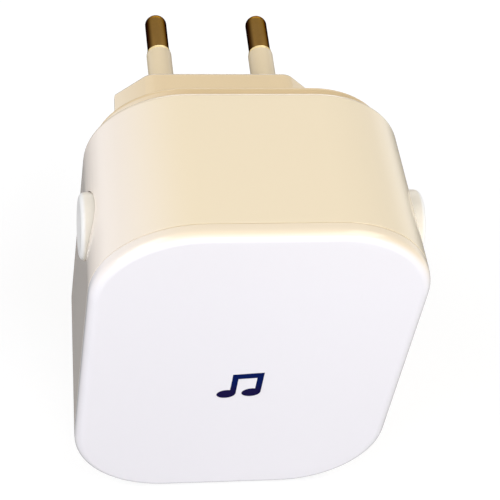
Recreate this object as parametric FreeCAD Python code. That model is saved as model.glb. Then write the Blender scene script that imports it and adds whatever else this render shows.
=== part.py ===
import FreeCAD, Part
import math
import os

# Plug-in doorbell receiver, in millimetres.
# The origin lies midway between the plug pins on the neck's end face, which meets the wall socket.
# +Y points into the socket, +Z is up, and "depth" is a distance from the origin towards the room (-Y).

# Plug pins and their sleeves
pin_pitch = 19.0
pin_length = 19.0
pin_diameter = 4.0
pin_tip_round = 1.7
pin_core_diameter = 3.2
sleeve_diameter = 4.6
sleeve_length = 10.0
sleeve_root = 1.5
sleeve_end_round = 0.35
pin_collar_diameter = 4.0
pin_collar_thickness = 1.2
pin_stub_diameter = 2.4
pin_stub_length = 2.4
moulded_clearance = 0.02

# Plug neck, a flattened octagon that widens towards the housing
neck_width = 36.8
neck_height = 12.4
neck_chamfer = 5.7
neck_draft = 1.4
neck_length = 24.2
neck_side_flat = 0.1
neck_wall = 2.0
neck_end_wall = 3.0
neck_end_round = 0.5
round_share_of_flat = 0.45
neck_boss_diameter = 4.4
neck_boss_length = 8.0
neck_boss_inset = 3.4

# Raised plate on the back of the housing
plate_thickness = 2.8
plate_inset = 1.7
plate_edge_round = 0.8
plate_window_clearance = 0.1

# Housing, a cup that is open towards the room and widens that way
body_centre_z = -3.5
housing_rear_width = 52.9
housing_rear_height = 71.2
housing_rear_radius = 16.2
housing_front_width = 54.8
housing_front_height = 75.4
housing_front_radius = 17.0
housing_depth = 28.2
housing_wall = 2.0
housing_rear_round = 0.9
lead_window_width = 24.0
lead_window_height = 7.0
seam_chamfer = 0.25

# Front cover
cover_depth = 2.7
cover_wall = 2.0
cover_edge_round = 1.6
lip_depth = 1.8
lip_wall = 1.2
lip_clearance = 0.1
post_diameter = 5.5
post_root = 0.5
upper_post_inset = 9.05
upper_post_rise = 27.5
lower_post_inset = 6.95
lower_post_drop = 24.0

# Screws that hold the cover, the neck, the board and the speaker clamp
screw_hole_clearance = 0.02
cover_screw_head_diameter = 4.6
cover_screw_head_height = 1.7
cover_screw_diameter = 2.6
cover_screw_grip = 7.0
counterbore_diameter = 5.2
counterbore_depth = 1.9
neck_screw_head_diameter = 4.4
neck_screw_head_height = 1.5
neck_screw_diameter = 2.2
neck_screw_grip = 6.0
board_screw_head_diameter = 4.2
board_screw_head_height = 1.4
board_screw_diameter = 2.2
board_screw_grip = 5.0
clamp_screw_head_diameter = 3.4
clamp_screw_head_height = 1.1
clamp_screw_diameter = 1.7
clamp_screw_grip = 3.5
pilot_extra_depth = 1.0
drive_slot_width = 0.6
drive_slot_depth = 0.7
drive_slot_share = 0.6
screw_head_round_share = 0.4

# Side buttons: melody on the left, volume on the right
button_to_seam = 12.7
button_rise = 20.5
button_diameter = 11.0
button_proud = 1.1
button_edge_round = 0.7
button_dish_diameter = 8.4
button_dish_depth = 0.3
button_clearance = 0.15
button_flange_width = 1.0
button_flange_thickness = 0.8
button_seat_gap = 0.05
button_travel = 0.3
button_stem_diameter = 2.6
guide_wall = 1.6
guide_end_x = 22.5

# Push switches under the buttons
switch_axis_height = 3.7
switch_width = 6.0
switch_height = 7.2
switch_thickness = 3.8
switch_face_x = 16.4
plunger_diameter = 3.4
plunger_clearance = 0.06
plunger_seated = 1.0
plunger_reach = 2.2
plunger_spare = 0.2
plunger_gap = 0.05

# Circuit board
board_thickness = 1.6
board_width = 41.6
board_bottom_drop = 18.5
board_shoulder_rise = 24.0
board_top_rise = 32.0
crown_post_gap = 2.15
board_boss_diameter = 5.0
crown_boss_inset = 4.0
upper_boss_rise = 28.0
lower_boss_x = 16.0
lower_boss_drop = 14.5

# Parts on the back of the board: places are across and above the housing's centre
transformer_place = (-10.5, -6.5)
transformer_width = 13.0
transformer_height = 6.0
transformer_stack = 11.0
transformer_leg = 2.2
bobbin_flange = 0.8
bobbin_clearance = 0.1
bobbin_hub = 3.6
winding_margin = 0.3
bulk_capacitor_place = (11.0, -6.5)
bulk_capacitor_diameter = 8.0
bulk_capacitor_length = 12.0
output_capacitor_place = (1.5, -8.5)
output_capacitor_diameter = 6.3
output_capacitor_length = 8.0
capacitor_foot = 0.6
capacitor_groove = 0.25
film_capacitor_place = (-12.5, 9.5)
film_capacitor_size = (12.0, 5.0, 10.0)
resistor_place = (-12.0, 14.8)
resistor_length = 9.0
resistor_diameter = 3.4
resistor_lift = 0.5
resistor_leg_diameter = 0.7
resistor_leg_margin = 0.8
rectifier_place = (1.5, 6.0)
rectifier_size = (6.5, 4.5, 2.5)
melody_chip_place = (0.0, 14.0)
melody_chip_size = (9.9, 3.9, 1.6)
melody_chip_lift = 0.1
melody_chip_legs = 8
melody_chip_leg_pitch = 1.27
melody_chip_leg_width = 0.42
melody_chip_leg_reach = 1.0
melody_chip_leg_thickness = 0.25
receiver_place = (12.8, 10.5)
receiver_size = (15.0, 1.0, 9.0)
crystal_size = (10.6, 3.4, 4.2)
crystal_lift = 2.6
antenna_place = (17.0, 1.0)
antenna_diameter = 5.0
antenna_wire_diameter = 0.6
antenna_height = 10.0

# Lamp behind the note, its shroud and the note-shaped light guide
note_x = -0.5
note_drop = 4.0
note_clearance = 0.04
note_stem_spacing = 4.25
note_stem_width = 1.0
note_stem_height = 6.0
note_beam_rise = 0.18
note_beam_thickness = 1.45
note_head_length = 3.2
note_head_width = 2.4
note_head_tilt = 8.0
note_backing_width = 11.0
note_backing_height = 11.0
note_backing_thickness = 0.8
shroud_wall = 1.0
lamp_diameter = 3.0
lamp_gap = 2.1
lamp_rim_diameter = 3.8
lamp_rim_height = 1.0

# Speaker, face down over the slots in the floor, between the rear wall and the cover's lip.
# Its round parts are shares of the speaker's diameter.
speaker_cup_gap = 0.9
speaker_chamber = 3.2
cup_wall = 1.15
speaker_clearance = 0.15
speaker_rim_share = 0.09
speaker_rim_thickness = 1.0
gasket_thickness = 0.8
basket_height = 2.8
basket_wall = 0.8
basket_top_share = 0.8
basket_base_gap = 0.9
yoke_share = 0.56
yoke_wall = 0.9
yoke_floor = 1.0
yoke_depth = 2.8
yoke_drop = 1.2
magnet_share = 0.34
magnet_thickness = 1.6
pole_plate_share = 0.35
pole_plate_thickness = 0.8
coil_inner_share = 0.385
coil_outer_share = 0.435
coil_height = 2.0
diaphragm_share = 0.74
diaphragm_thickness = 0.3
diaphragm_dome_rise = 0.9
diaphragm_cone_drop = 0.5
diaphragm_spare = 0.15
surround_gap = 0.05
surround_thickness = 0.6
diaphragm_travel = 0.25
clamp_thickness = 1.2
clamp_lug_diameter = 4.4
clamp_lug_offset = 1.9
terminal_size = (6.0, 1.8, 0.6)
slot_width = 1.6
slot_pitch = 3.0
slot_count = 5
slot_margin = 2.2

# Internal leads
mains_lead_diameter = 1.6
mains_lead_board_x = 7.0
mains_lead_board_z = 1.0
mains_lead_bends = (0.1, 0.5)
lug_thickness = 0.5
lug_width = 2.5
lug_length = 6.0
lug_ring_diameter = 4.6
speaker_lead_diameter = 1.1
speaker_lead_x = 1.8
speaker_lead_board_x = 2.6
speaker_lead_board_drop = 16.0
speaker_lead_bends = (0.55, 0.4)

# Depths that follow from the sizes above
plate_face_depth = neck_length
housing_rear_depth = plate_face_depth + plate_thickness
housing_floor_depth = housing_rear_depth + housing_wall
seam_depth = housing_rear_depth + housing_depth
face_depth = seam_depth + cover_depth
cover_inner_depth = face_depth - cover_wall
lip_start_depth = seam_depth - lip_depth
button_depth = seam_depth - button_to_seam
board_rear_depth = button_depth + switch_axis_height
board_front_depth = board_rear_depth + board_thickness
note_z = body_centre_z - note_drop
button_z = body_centre_z + button_rise

# Places across the part that follow from the sizes above
neck_boss_x = neck_width / 2 - neck_boss_inset
upper_post_x = housing_rear_width / 2 - upper_post_inset
lower_post_x = housing_rear_width / 2 - lower_post_inset
board_crown_width = 2 * (upper_post_x - post_diameter / 2 - crown_post_gap)
upper_boss_x = board_crown_width / 2 - crown_boss_inset

# The speaker takes the depth that the rear wall and the lip leave
speaker_depth = (housing_floor_depth + lip_start_depth) / 2
cup_diameter = lip_start_depth - housing_floor_depth - 2 * speaker_cup_gap
clamp_lug_x = cup_diameter / 2 + clamp_lug_offset
speaker_diameter = cup_diameter - 2 * (cup_wall + speaker_clearance)
speaker_rim_width = speaker_rim_share * speaker_diameter
basket_top_diameter = basket_top_share * speaker_diameter
yoke_diameter = yoke_share * speaker_diameter
magnet_diameter = magnet_share * speaker_diameter
pole_plate_diameter = pole_plate_share * speaker_diameter
coil_inner_diameter = coil_inner_share * speaker_diameter
coil_outer_diameter = coil_outer_share * speaker_diameter
diaphragm_diameter = diaphragm_share * speaker_diameter

sides = {"left": -1, "right": 1}


def point(x, depth, z):
    return FreeCAD.Vector(x, -depth, z)


def rounded_rectangle(width, height, radius, depth, x=0.0, z=0.0):
    """Closed wire in the plane at a depth, centred on x and z."""
    half_w = width / 2
    half_h = height / 2
    diagonal = radius * (1 - math.sqrt(0.5))
    edges = []
    corners = [(1, 1), (-1, 1), (-1, -1), (1, -1)]
    for index, (sx, sz) in enumerate(corners):
        on_side = point(x + sx * half_w, depth, z + sz * (half_h - radius))
        middle = point(x + sx * (half_w - diagonal), depth, z + sz * (half_h - diagonal))
        on_top = point(x + sx * (half_w - radius), depth, z + sz * half_h)
        first, last = (on_side, on_top) if sx * sz > 0 else (on_top, on_side)
        edges.append(Part.Arc(first, middle, last).toShape())
        nx, nz = corners[(index + 1) % 4]
        if nx == sx:
            next_first = point(x + nx * half_w, depth, z + nz * (half_h - radius))
        else:
            next_first = point(x + nx * (half_w - radius), depth, z + nz * half_h)
        edges.append(Part.LineSegment(last, next_first).toShape())
    return Part.Wire(edges)


def slab(width, height, radius, near, far, x=0.0, z=0.0):
    """Rounded block between two depths."""
    face = Part.Face(rounded_rectangle(width, height, radius, near, x, z))
    return face.extrude(FreeCAD.Vector(0, near - far, 0))


def box(x, depth, z, width, thickness, height):
    """Block centred on x and z that starts at a depth and runs towards the room."""
    corner = FreeCAD.Vector(x - width / 2, -depth - thickness, z - height / 2)
    return Part.makeBox(width, thickness, height, corner)


def rod(radius, near, far, x=0.0, z=0.0):
    """Cylinder along the depth between two depths."""
    return Part.makeCylinder(radius, far - near, point(x, near, z), FreeCAD.Vector(0, -1, 0))


def side_rod(radius, start_x, end_x, depth, z):
    """Cylinder across the housing from one x to another."""
    direction = FreeCAD.Vector(1 if end_x > start_x else -1, 0, 0)
    return Part.makeCylinder(radius, abs(end_x - start_x), point(start_x, depth, z), direction)


def upright_rod(radius, bottom, top, x, depth):
    return Part.makeCylinder(radius, top - bottom, point(x, depth, bottom), FreeCAD.Vector(0, 0, 1))


def turned(profile, x, depth):
    """Solid turned about an upright axis from (radius, z) points."""
    corners = [point(x + r, depth, z) for r, z in profile]
    face = Part.Face(Part.makePolygon(corners + [corners[0]]))
    return face.revolve(point(x, depth, 0), FreeCAD.Vector(0, 0, 1), 360)


def at_depth(shape, depth):
    """Edges that lie in the plane at a depth."""
    flat = []
    for edge in shape.Edges:
        bounds = edge.BoundBox
        if abs(bounds.YMin + depth) < 0.001 and abs(bounds.YMax + depth) < 0.001:
            flat.append(edge)
    return flat


def housing_outline(depth, inset=0.0):
    """Width, height and corner radius of the housing at a depth."""
    share = (depth - housing_rear_depth) / housing_depth
    width = housing_rear_width + share * (housing_front_width - housing_rear_width)
    height = housing_rear_height + share * (housing_front_height - housing_rear_height)
    radius = housing_rear_radius + share * (housing_front_radius - housing_rear_radius)
    return width - 2 * inset, height - 2 * inset, radius - inset


def housing_block(near, far, inset, far_inset=None):
    """Part of the housing's tapered block, set in from its sides."""
    wires = []
    insets = {near: inset, far: inset if far_inset is None else far_inset}
    for depth, amount in insets.items():
        width, height, radius = housing_outline(depth, amount)
        wires.append(rounded_rectangle(width, height, radius, depth, 0, body_centre_z))
    return Part.makeLoft(wires, True, True)


def floor_z(depth):
    """Height of the housing's inner floor at a depth."""
    return body_centre_z - housing_outline(depth, housing_wall)[1] / 2


def neck_outline(depth, grow=0.0):
    """Octagon at a depth; where its slopes would cross, the sides keep a narrow flat."""
    share = depth / housing_rear_depth
    half_w = neck_width / 2 + share * neck_draft + grow
    half_h = neck_height / 2 + grow
    cut = neck_chamfer + grow * (2 - math.sqrt(2))
    crossing = max(0.0, cut + neck_side_flat / 2 - half_h)
    half_w -= crossing
    cut -= crossing
    corners = []
    for sx, sz in [(1, 1), (-1, 1), (-1, -1), (1, -1)]:
        on_side = point(sx * half_w, depth, sz * (half_h - cut))
        on_top = point(sx * (half_w - cut), depth, sz * half_h)
        corners += [on_side, on_top] if sx * sz > 0 else [on_top, on_side]
    return Part.makePolygon(corners + [corners[0]])


def neck_block(near, far, grow=0.0):
    return Part.makeLoft([neck_outline(near, grow), neck_outline(far, grow)], True, True)


def post_places():
    upper_z = body_centre_z + upper_post_rise
    lower_z = body_centre_z - lower_post_drop
    return {
        "upper_left": (-upper_post_x, upper_z),
        "upper_right": (upper_post_x, upper_z),
        "lower_left": (-lower_post_x, lower_z),
        "lower_right": (lower_post_x, lower_z),
    }


def boss_places():
    upper_z = body_centre_z + upper_boss_rise
    lower_z = body_centre_z - lower_boss_drop
    return {
        "upper_left": (-upper_boss_x, upper_z),
        "upper_right": (upper_boss_x, upper_z),
        "lower_left": (-lower_boss_x, lower_z),
        "lower_right": (lower_boss_x, lower_z),
    }


def make_pin(side):
    x = side * pin_pitch / 2
    bare_length = pin_length - sleeve_length
    tip = rod(pin_diameter / 2, -pin_length, -pin_length + bare_length, x)
    tip = tip.makeFillet(pin_tip_round, at_depth(tip, -pin_length))
    core = rod(pin_core_diameter / 2, -sleeve_length, neck_end_wall, x)
    collar_end = neck_end_wall + pin_collar_thickness
    collar = rod(pin_collar_diameter / 2, neck_end_wall, collar_end, x)
    stub = rod(pin_stub_diameter / 2, collar_end, collar_end + pin_stub_length, x)
    return tip.fuse([core, collar, stub]).removeSplitter()


def make_sleeve(side):
    x = side * pin_pitch / 2
    sleeve = rod(sleeve_diameter / 2, -sleeve_length, sleeve_root, x)
    sleeve = sleeve.makeFillet(sleeve_end_round, at_depth(sleeve, -sleeve_length))
    bore = rod(pin_core_diameter / 2 + moulded_clearance, -sleeve_length - 1, sleeve_root + 1, x)
    return sleeve.cut(bore)


def make_neck():
    neck = neck_block(0, housing_rear_depth)
    side_flat = neck_height - 2 * neck_chamfer
    end_round = min(neck_end_round, round_share_of_flat * side_flat)
    neck = neck.makeFillet(end_round, at_depth(neck, 0))
    neck = neck.cut(neck_block(neck_end_wall, housing_rear_depth + 1, -neck_wall))
    boss_start = housing_rear_depth - neck_boss_length
    for side in sides.values():
        boss = rod(neck_boss_diameter / 2, boss_start, housing_rear_depth, side * neck_boss_x)
        neck = neck.fuse(boss)
        hole_end = housing_rear_depth - neck_screw_grip + housing_wall - pilot_extra_depth
        pilot = neck_screw_diameter / 2 + screw_hole_clearance
        neck = neck.cut(rod(pilot, hole_end, housing_rear_depth + 1, side * neck_boss_x))
        shank_hole = pin_core_diameter / 2 + moulded_clearance
        neck = neck.cut(rod(shank_hole, -1, neck_end_wall + 1, side * pin_pitch / 2))
        sleeve_hole = sleeve_diameter / 2 + moulded_clearance
        neck = neck.cut(rod(sleeve_hole, -1, sleeve_root, side * pin_pitch / 2))
    return neck.removeSplitter()


def make_plate():
    width, height, radius = housing_outline(housing_rear_depth, plate_inset)
    plate = slab(width, height, radius, plate_face_depth, housing_rear_depth, 0, body_centre_z)
    plate = plate.makeFillet(plate_edge_round, at_depth(plate, plate_face_depth))
    window = neck_block(plate_face_depth - 1, housing_rear_depth + 1, plate_window_clearance)
    plate = plate.cut(window)
    bore = cover_screw_diameter / 2 + screw_hole_clearance
    for x, z in post_places().values():
        head_seat = plate_face_depth + counterbore_depth
        plate = plate.cut(rod(counterbore_diameter / 2, plate_face_depth - 1, head_seat, x, z))
        plate = plate.cut(rod(bore, plate_face_depth, housing_rear_depth + 1, x, z))
    return plate


def button_guide(side):
    """Tube round a button's bore, from the side wall to its inner end."""
    outer = button_diameter / 2 + button_clearance + guide_wall
    return side_rod(outer, side * guide_end_x, side * housing_front_width, button_depth, button_z)


def speaker_seat_z():
    return floor_z(speaker_depth) + speaker_chamber


def speaker_rim_top():
    return speaker_seat_z() + gasket_thickness + speaker_rim_thickness


def speaker_cup():
    """Ring and lugs on the floor that carry the speaker."""
    base = floor_z(speaker_depth) - housing_wall
    cup = upright_rod(cup_diameter / 2, base, speaker_rim_top(), 0, speaker_depth)
    for side in sides.values():
        lug_x = side * clamp_lug_x
        cup = cup.fuse(upright_rod(clamp_lug_diameter / 2, base, speaker_rim_top(), lug_x, speaker_depth))
    return cup


def speaker_cup_hollow():
    seat = speaker_seat_z()
    top = speaker_rim_top()
    bottom = floor_z(speaker_depth)
    radius = speaker_diameter / 2
    hollow = upright_rod(radius + speaker_clearance, seat, top + 1, 0, speaker_depth)
    hollow = hollow.fuse(upright_rod(radius - speaker_rim_width, bottom, seat + 1, 0, speaker_depth))
    for side in sides.values():
        hole_floor = top + clamp_thickness - clamp_screw_grip - pilot_extra_depth
        pilot = clamp_screw_diameter / 2 + screw_hole_clearance
        hollow = hollow.fuse(upright_rod(pilot, hole_floor, top + 1, side * clamp_lug_x, speaker_depth))
    return hollow


def floor_slots():
    """Sound slots through the floor, shorter towards the ends of the row."""
    reach = speaker_diameter / 2 - slot_margin
    slots = []
    for index in range(slot_count):
        offset = (index - (slot_count - 1) / 2) * slot_pitch
        half = math.sqrt(reach**2 - offset**2)
        base = floor_z(speaker_depth) - 3 * housing_wall
        top = speaker_seat_z()
        centre = box(0, speaker_depth + offset - slot_width / 2, 0, 2 * half, slot_width, top - base)
        centre.translate(FreeCAD.Vector(0, 0, (top + base) / 2))
        slot = centre
        for end in (-half, half):
            slot = slot.fuse(upright_rod(slot_width / 2, base, top, end, speaker_depth + offset))
        slots.append(slot)
    return slots


def make_housing():
    bevel_start = seam_depth - seam_chamfer
    outer = housing_block(housing_rear_depth, bevel_start, 0)
    outer = outer.makeFillet(housing_rear_round, at_depth(outer, housing_rear_depth))
    outer = outer.fuse(housing_block(bevel_start, seam_depth, 0, seam_chamfer))
    housing = outer.cut(housing_block(housing_floor_depth, seam_depth + 1, housing_wall))
    added = [button_guide(side) for side in sides.values()]
    added.append(speaker_cup())
    boss_root = housing_floor_depth - housing_wall / 2
    for x, z in boss_places().values():
        added.append(rod(board_boss_diameter / 2, boss_root, board_rear_depth, x, z))
    for piece in added:
        housing = housing.fuse(piece.common(outer))
    housing = housing.removeSplitter()
    cuts = [speaker_cup_hollow()] + floor_slots()
    for side in sides.values():
        bore = button_diameter / 2 + button_clearance
        inner_x = side * (guide_end_x - 1)
        cuts.append(side_rod(bore, inner_x, side * housing_front_width, button_depth, button_z))
        hole = neck_screw_diameter / 2 + screw_hole_clearance
        cuts.append(rod(hole, housing_rear_depth - 1, housing_floor_depth + 1, side * neck_boss_x))
    window = box(0, housing_rear_depth - 1, 0, lead_window_width, housing_wall + 2, lead_window_height)
    cuts.append(window)
    for x, z in post_places().values():
        hole = cover_screw_diameter / 2 + screw_hole_clearance
        cuts.append(rod(hole, housing_rear_depth - 1, housing_floor_depth + 1, x, z))
    for x, z in boss_places().values():
        pilot = board_screw_diameter / 2 + screw_hole_clearance
        start = board_front_depth - board_screw_grip - pilot_extra_depth
        cuts.append(rod(pilot, start, board_rear_depth + 1, x, z))
    for cutter in cuts:
        housing = housing.cut(cutter)
    return housing


def note_block(near, far, grow=0.0):
    """Pair of beamed notes as a prism between two depths, seen from the room."""
    beam_middle_x = note_x + note_head_length / 2
    beam_middle_z = note_z + (note_stem_height + note_head_width / 2) / 2
    faces = []
    for side in (-1, 1):
        stem_right = beam_middle_x + side * note_stem_spacing / 2
        stem_left = stem_right - note_stem_width
        beam_z = beam_middle_z + side * note_beam_rise
        stem_top = beam_z - note_beam_thickness / 2
        stem_foot = beam_z - note_stem_height
        stem_corners = [
            point(stem_left - grow, near, stem_foot),
            point(stem_right + grow, near, stem_foot),
            point(stem_right + grow, near, stem_top),
            point(stem_left - grow, near, stem_top),
        ]
        faces.append(Part.Face(Part.makePolygon(stem_corners + [stem_corners[0]])))
        long_radius = note_head_length / 2 + grow
        short_radius = note_head_width / 2 + grow
        head = Part.Ellipse(FreeCAD.Vector(0, 0, 0), long_radius, short_radius).toShape()
        head = Part.Face(Part.Wire([head]))
        head.rotate(FreeCAD.Vector(0, 0, 0), FreeCAD.Vector(0, 0, 1), note_head_tilt)
        head.rotate(FreeCAD.Vector(0, 0, 0), FreeCAD.Vector(1, 0, 0), 90)
        head.translate(point(stem_right - note_head_length / 2, near, stem_foot))
        faces.append(head)
    left = beam_middle_x - note_stem_spacing / 2 - note_stem_width - grow
    right = beam_middle_x + note_stem_spacing / 2 + grow
    slope = 2 * note_beam_rise / note_stem_spacing
    under = note_beam_thickness + grow
    beam_corners = []
    for x, drop in [(left, under), (right, under), (right, -grow), (left, -grow)]:
        beam_corners.append(point(x, near, beam_middle_z + (x - beam_middle_x) * slope - drop))
    faces.append(Part.Face(Part.makePolygon(beam_corners + [beam_corners[0]])))
    prisms = [face.extrude(FreeCAD.Vector(0, near - far, 0)) for face in faces]
    return prisms[0].fuse(prisms[1:]).removeSplitter()


def make_cover():
    width, height, radius = housing_outline(seam_depth)
    cover = slab(width, height, radius, seam_depth, face_depth, 0, body_centre_z)
    cover = cover.makeFillet(cover_edge_round, at_depth(cover, face_depth))
    cover = cover.makeChamfer(seam_chamfer, at_depth(cover, seam_depth))
    width, height, radius = housing_outline(lip_start_depth, housing_wall + lip_clearance)
    lip = slab(width, height, radius, lip_start_depth, seam_depth + seam_chamfer, 0, body_centre_z)
    cover = cover.fuse(lip)
    inner = slab(width - 2 * lip_wall, height - 2 * lip_wall, radius - lip_wall, lip_start_depth - 1,
                 cover_inner_depth, 0, body_centre_z)
    cover = cover.cut(inner)
    for x, z in post_places().values():
        post_end = cover_inner_depth + post_root
        cover = cover.fuse(rod(post_diameter / 2, housing_floor_depth, post_end, x, z))
    for x, z in post_places().values():
        pilot = cover_screw_diameter / 2 + screw_hole_clearance
        end = plate_face_depth + counterbore_depth + cover_screw_grip + pilot_extra_depth
        cover = cover.cut(rod(pilot, housing_floor_depth - 1, end, x, z))
    cover = cover.cut(note_block(cover_inner_depth - 1, face_depth + 1, note_clearance))
    return cover.removeSplitter()


def make_light_guide():
    note = note_block(cover_inner_depth, face_depth)
    start = cover_inner_depth - note_backing_thickness
    backing = box(note_x, start, note_z, note_backing_width, note_backing_thickness, note_backing_height)
    return note.fuse(backing)


def make_shroud():
    end = cover_inner_depth - note_backing_thickness
    length = end - board_front_depth
    outer = box(note_x, board_front_depth, note_z, note_backing_width, length, note_backing_height)
    inner_width = note_backing_width - 2 * shroud_wall
    inner_height = note_backing_height - 2 * shroud_wall
    return outer.cut(box(note_x, board_front_depth - 1, note_z, inner_width, length + 2, inner_height))


def make_lamp():
    dome_radius = lamp_diameter / 2
    tip = cover_inner_depth - note_backing_thickness - lamp_gap
    straight_end = tip - dome_radius
    body = rod(dome_radius, board_front_depth, straight_end, note_x, note_z)
    dome = Part.makeSphere(dome_radius, point(note_x, straight_end, note_z))
    rim = rod(lamp_rim_diameter / 2, board_front_depth, board_front_depth + lamp_rim_height, note_x, note_z)
    return body.fuse([dome, rim]).removeSplitter()


def make_screw(head_diameter, head_height, shank_diameter, grip, x, z, seat_depth, towards_room):
    """Screw along the depth, its head's underside at seat_depth."""
    way = 1 if towards_room else -1
    head_end = seat_depth - way * head_height
    head = rod(head_diameter / 2, min(seat_depth, head_end), max(seat_depth, head_end), x, z)
    head = head.makeFillet(head_height * screw_head_round_share, at_depth(head, head_end))
    tip = seat_depth + way * grip
    shank = rod(shank_diameter / 2, min(seat_depth, tip), max(seat_depth, tip), x, z)
    slot_start = min(head_end, head_end + way * drive_slot_depth)
    screw = head.fuse(shank).removeSplitter()
    arm = head_diameter * drive_slot_share
    for width, height in ((arm, drive_slot_width), (drive_slot_width, arm)):
        screw = screw.cut(box(x, slot_start, z, width, drive_slot_depth, height))
    return screw


def make_button(side):
    outer_x = housing_outline(button_depth)[0] / 2 + button_proud
    flange_outer = guide_end_x - button_seat_gap
    flange_inner = flange_outer - button_flange_thickness
    body = side_rod(button_diameter / 2, side * flange_outer, side * outer_x, button_depth, button_z)
    rim = [edge for edge in body.Edges if edge.BoundBox.XLength < 0.001
           and abs(abs(edge.BoundBox.XMin) - outer_x) < 0.001]
    body = body.makeFillet(button_edge_round, rim)
    dish_radius = ((button_dish_diameter / 2) ** 2 + button_dish_depth**2) / (2 * button_dish_depth)
    dish_x = side * (outer_x - button_dish_depth + dish_radius)
    body = body.cut(Part.makeSphere(dish_radius, point(dish_x, button_depth, button_z)))
    flange_radius = button_diameter / 2 + button_flange_width
    flange = side_rod(flange_radius, side * flange_inner, side * flange_outer, button_depth, button_z)
    stem_end = plunger_tip_x() + plunger_gap
    stem = side_rod(button_stem_diameter / 2, side * stem_end, side * flange_inner, button_depth, button_z)
    return body.fuse([flange, stem]).removeSplitter()


def plunger_tip_x():
    return switch_face_x + plunger_reach


def make_switch(side):
    low = side * switch_face_x if side < 0 else switch_face_x - switch_thickness
    corner = FreeCAD.Vector(low, -board_rear_depth, button_z - switch_width / 2)
    body = Part.makeBox(switch_thickness, switch_height, switch_width, corner)
    bore = plunger_diameter / 2 + plunger_clearance
    bore_floor = switch_face_x - plunger_seated - button_travel - plunger_spare
    return body.cut(side_rod(bore, side * bore_floor, side * (switch_face_x + 1), button_depth, button_z))


def make_plunger(side):
    start = switch_face_x - plunger_seated
    return side_rod(plunger_diameter / 2, side * start, side * plunger_tip_x(), button_depth, button_z)


def make_board():
    bottom = body_centre_z - board_bottom_drop
    shoulder = body_centre_z + board_shoulder_rise
    top = body_centre_z + board_top_rise
    board = box(0, board_rear_depth, (bottom + shoulder) / 2, board_width, board_thickness, shoulder - bottom)
    crown = box(0, board_rear_depth, (bottom + top) / 2, board_crown_width, board_thickness, top - bottom)
    board = board.fuse(crown).removeSplitter()
    for x, z in boss_places().values():
        hole = board_screw_diameter / 2 + screw_hole_clearance
        board = board.cut(rod(hole, board_rear_depth - 1, board_front_depth + 1, x, z))
    return board


def on_board(place):
    x, rise = place
    return x, body_centre_z + rise


def back_box(place, width, height, thickness, lift=0.0):
    """Block standing on the back of the board."""
    x, z = on_board(place)
    return box(x, board_rear_depth - lift - thickness, z, width, thickness, height)


def transformer_window():
    """Width and depth of each window beside the core's middle leg."""
    width = (transformer_width - 2 * transformer_leg - bobbin_hub) / 2
    return width, transformer_stack - 2 * transformer_leg


def make_transformer_core():
    """Ring with a middle leg along the depth, its windows open at the top and bottom."""
    core = back_box(transformer_place, transformer_width, transformer_height, transformer_stack)
    width, stack = transformer_window()
    x, rise = transformer_place
    for side in (-1, 1):
        place = (x + side * (bobbin_hub + width) / 2, rise)
        core = core.cut(back_box(place, width, transformer_height + 2, stack, transformer_leg))
    return core


def around_leg(thickness):
    """Width and height of a layer that lies this thick round the middle leg."""
    return bobbin_hub + 2 * thickness, transformer_height + 2 * thickness


def make_transformer_bobbin():
    """Coil former round the middle leg, a flange at each end."""
    window, stack = transformer_window()
    lift = transformer_leg + bobbin_clearance
    span = stack - 2 * bobbin_clearance
    tube = back_box(transformer_place, *around_leg(bobbin_clearance + bobbin_flange), span, lift)
    flange = around_leg(window - bobbin_clearance)
    for end in (lift, lift + span - bobbin_flange):
        tube = tube.fuse(back_box(transformer_place, *flange, bobbin_flange, end))
    hole = back_box(transformer_place, *around_leg(bobbin_clearance), span + 2, lift - 1)
    return tube.cut(hole)


def make_transformer_winding():
    window, stack = transformer_window()
    lift = transformer_leg + bobbin_clearance + bobbin_flange
    span = stack - 2 * bobbin_clearance - 2 * bobbin_flange
    outer = around_leg(window - bobbin_clearance - winding_margin)
    winding = back_box(transformer_place, *outer, span, lift)
    hub = around_leg(bobbin_clearance + bobbin_flange)
    return winding.cut(back_box(transformer_place, *hub, span + 2, lift - 1))


def make_capacitor(place, diameter, length):
    """Can with a rolled groove near its foot."""
    x, z = on_board(place)
    can = rod(diameter / 2, board_rear_depth - length, board_rear_depth, x, z)
    can = can.makeFillet(capacitor_foot / 2, at_depth(can, board_rear_depth - length))
    groove_centre = point(x, board_rear_depth - 2 * capacitor_foot, z)
    groove = Part.makeTorus(diameter / 2, capacitor_groove, groove_centre, FreeCAD.Vector(0, 1, 0))
    return can.cut(groove)


def make_film_capacitor():
    width, height, thickness = film_capacitor_size
    return back_box(film_capacitor_place, width, height, thickness)


def make_resistor():
    x, z = on_board(resistor_place)
    axis_depth = board_rear_depth - resistor_lift - resistor_diameter / 2
    body = side_rod(resistor_diameter / 2, x - resistor_length / 2, x + resistor_length / 2, axis_depth, z)
    for side in (-1, 1):
        leg_x = x + side * (resistor_length / 2 - resistor_leg_margin)
        body = body.fuse(rod(resistor_leg_diameter / 2, axis_depth, board_rear_depth, leg_x, z))
    return body


def make_rectifier():
    width, height, thickness = rectifier_size
    return back_box(rectifier_place, width, height, thickness)


def make_melody_chip():
    width, height, thickness = melody_chip_size
    x, rise = melody_chip_place
    chip = back_box(melody_chip_place, width, height, thickness, melody_chip_lift)
    for index in range(melody_chip_legs):
        leg_x = x + (index - (melody_chip_legs - 1) / 2) * melody_chip_leg_pitch
        leg_height = height + 2 * melody_chip_leg_reach
        foot = back_box((leg_x, rise), melody_chip_leg_width, leg_height, melody_chip_leg_thickness)
        chip = chip.fuse(foot)
    return chip


def make_receiver():
    width, thickness, height = receiver_size
    return back_box(receiver_place, width, thickness, height)


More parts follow.
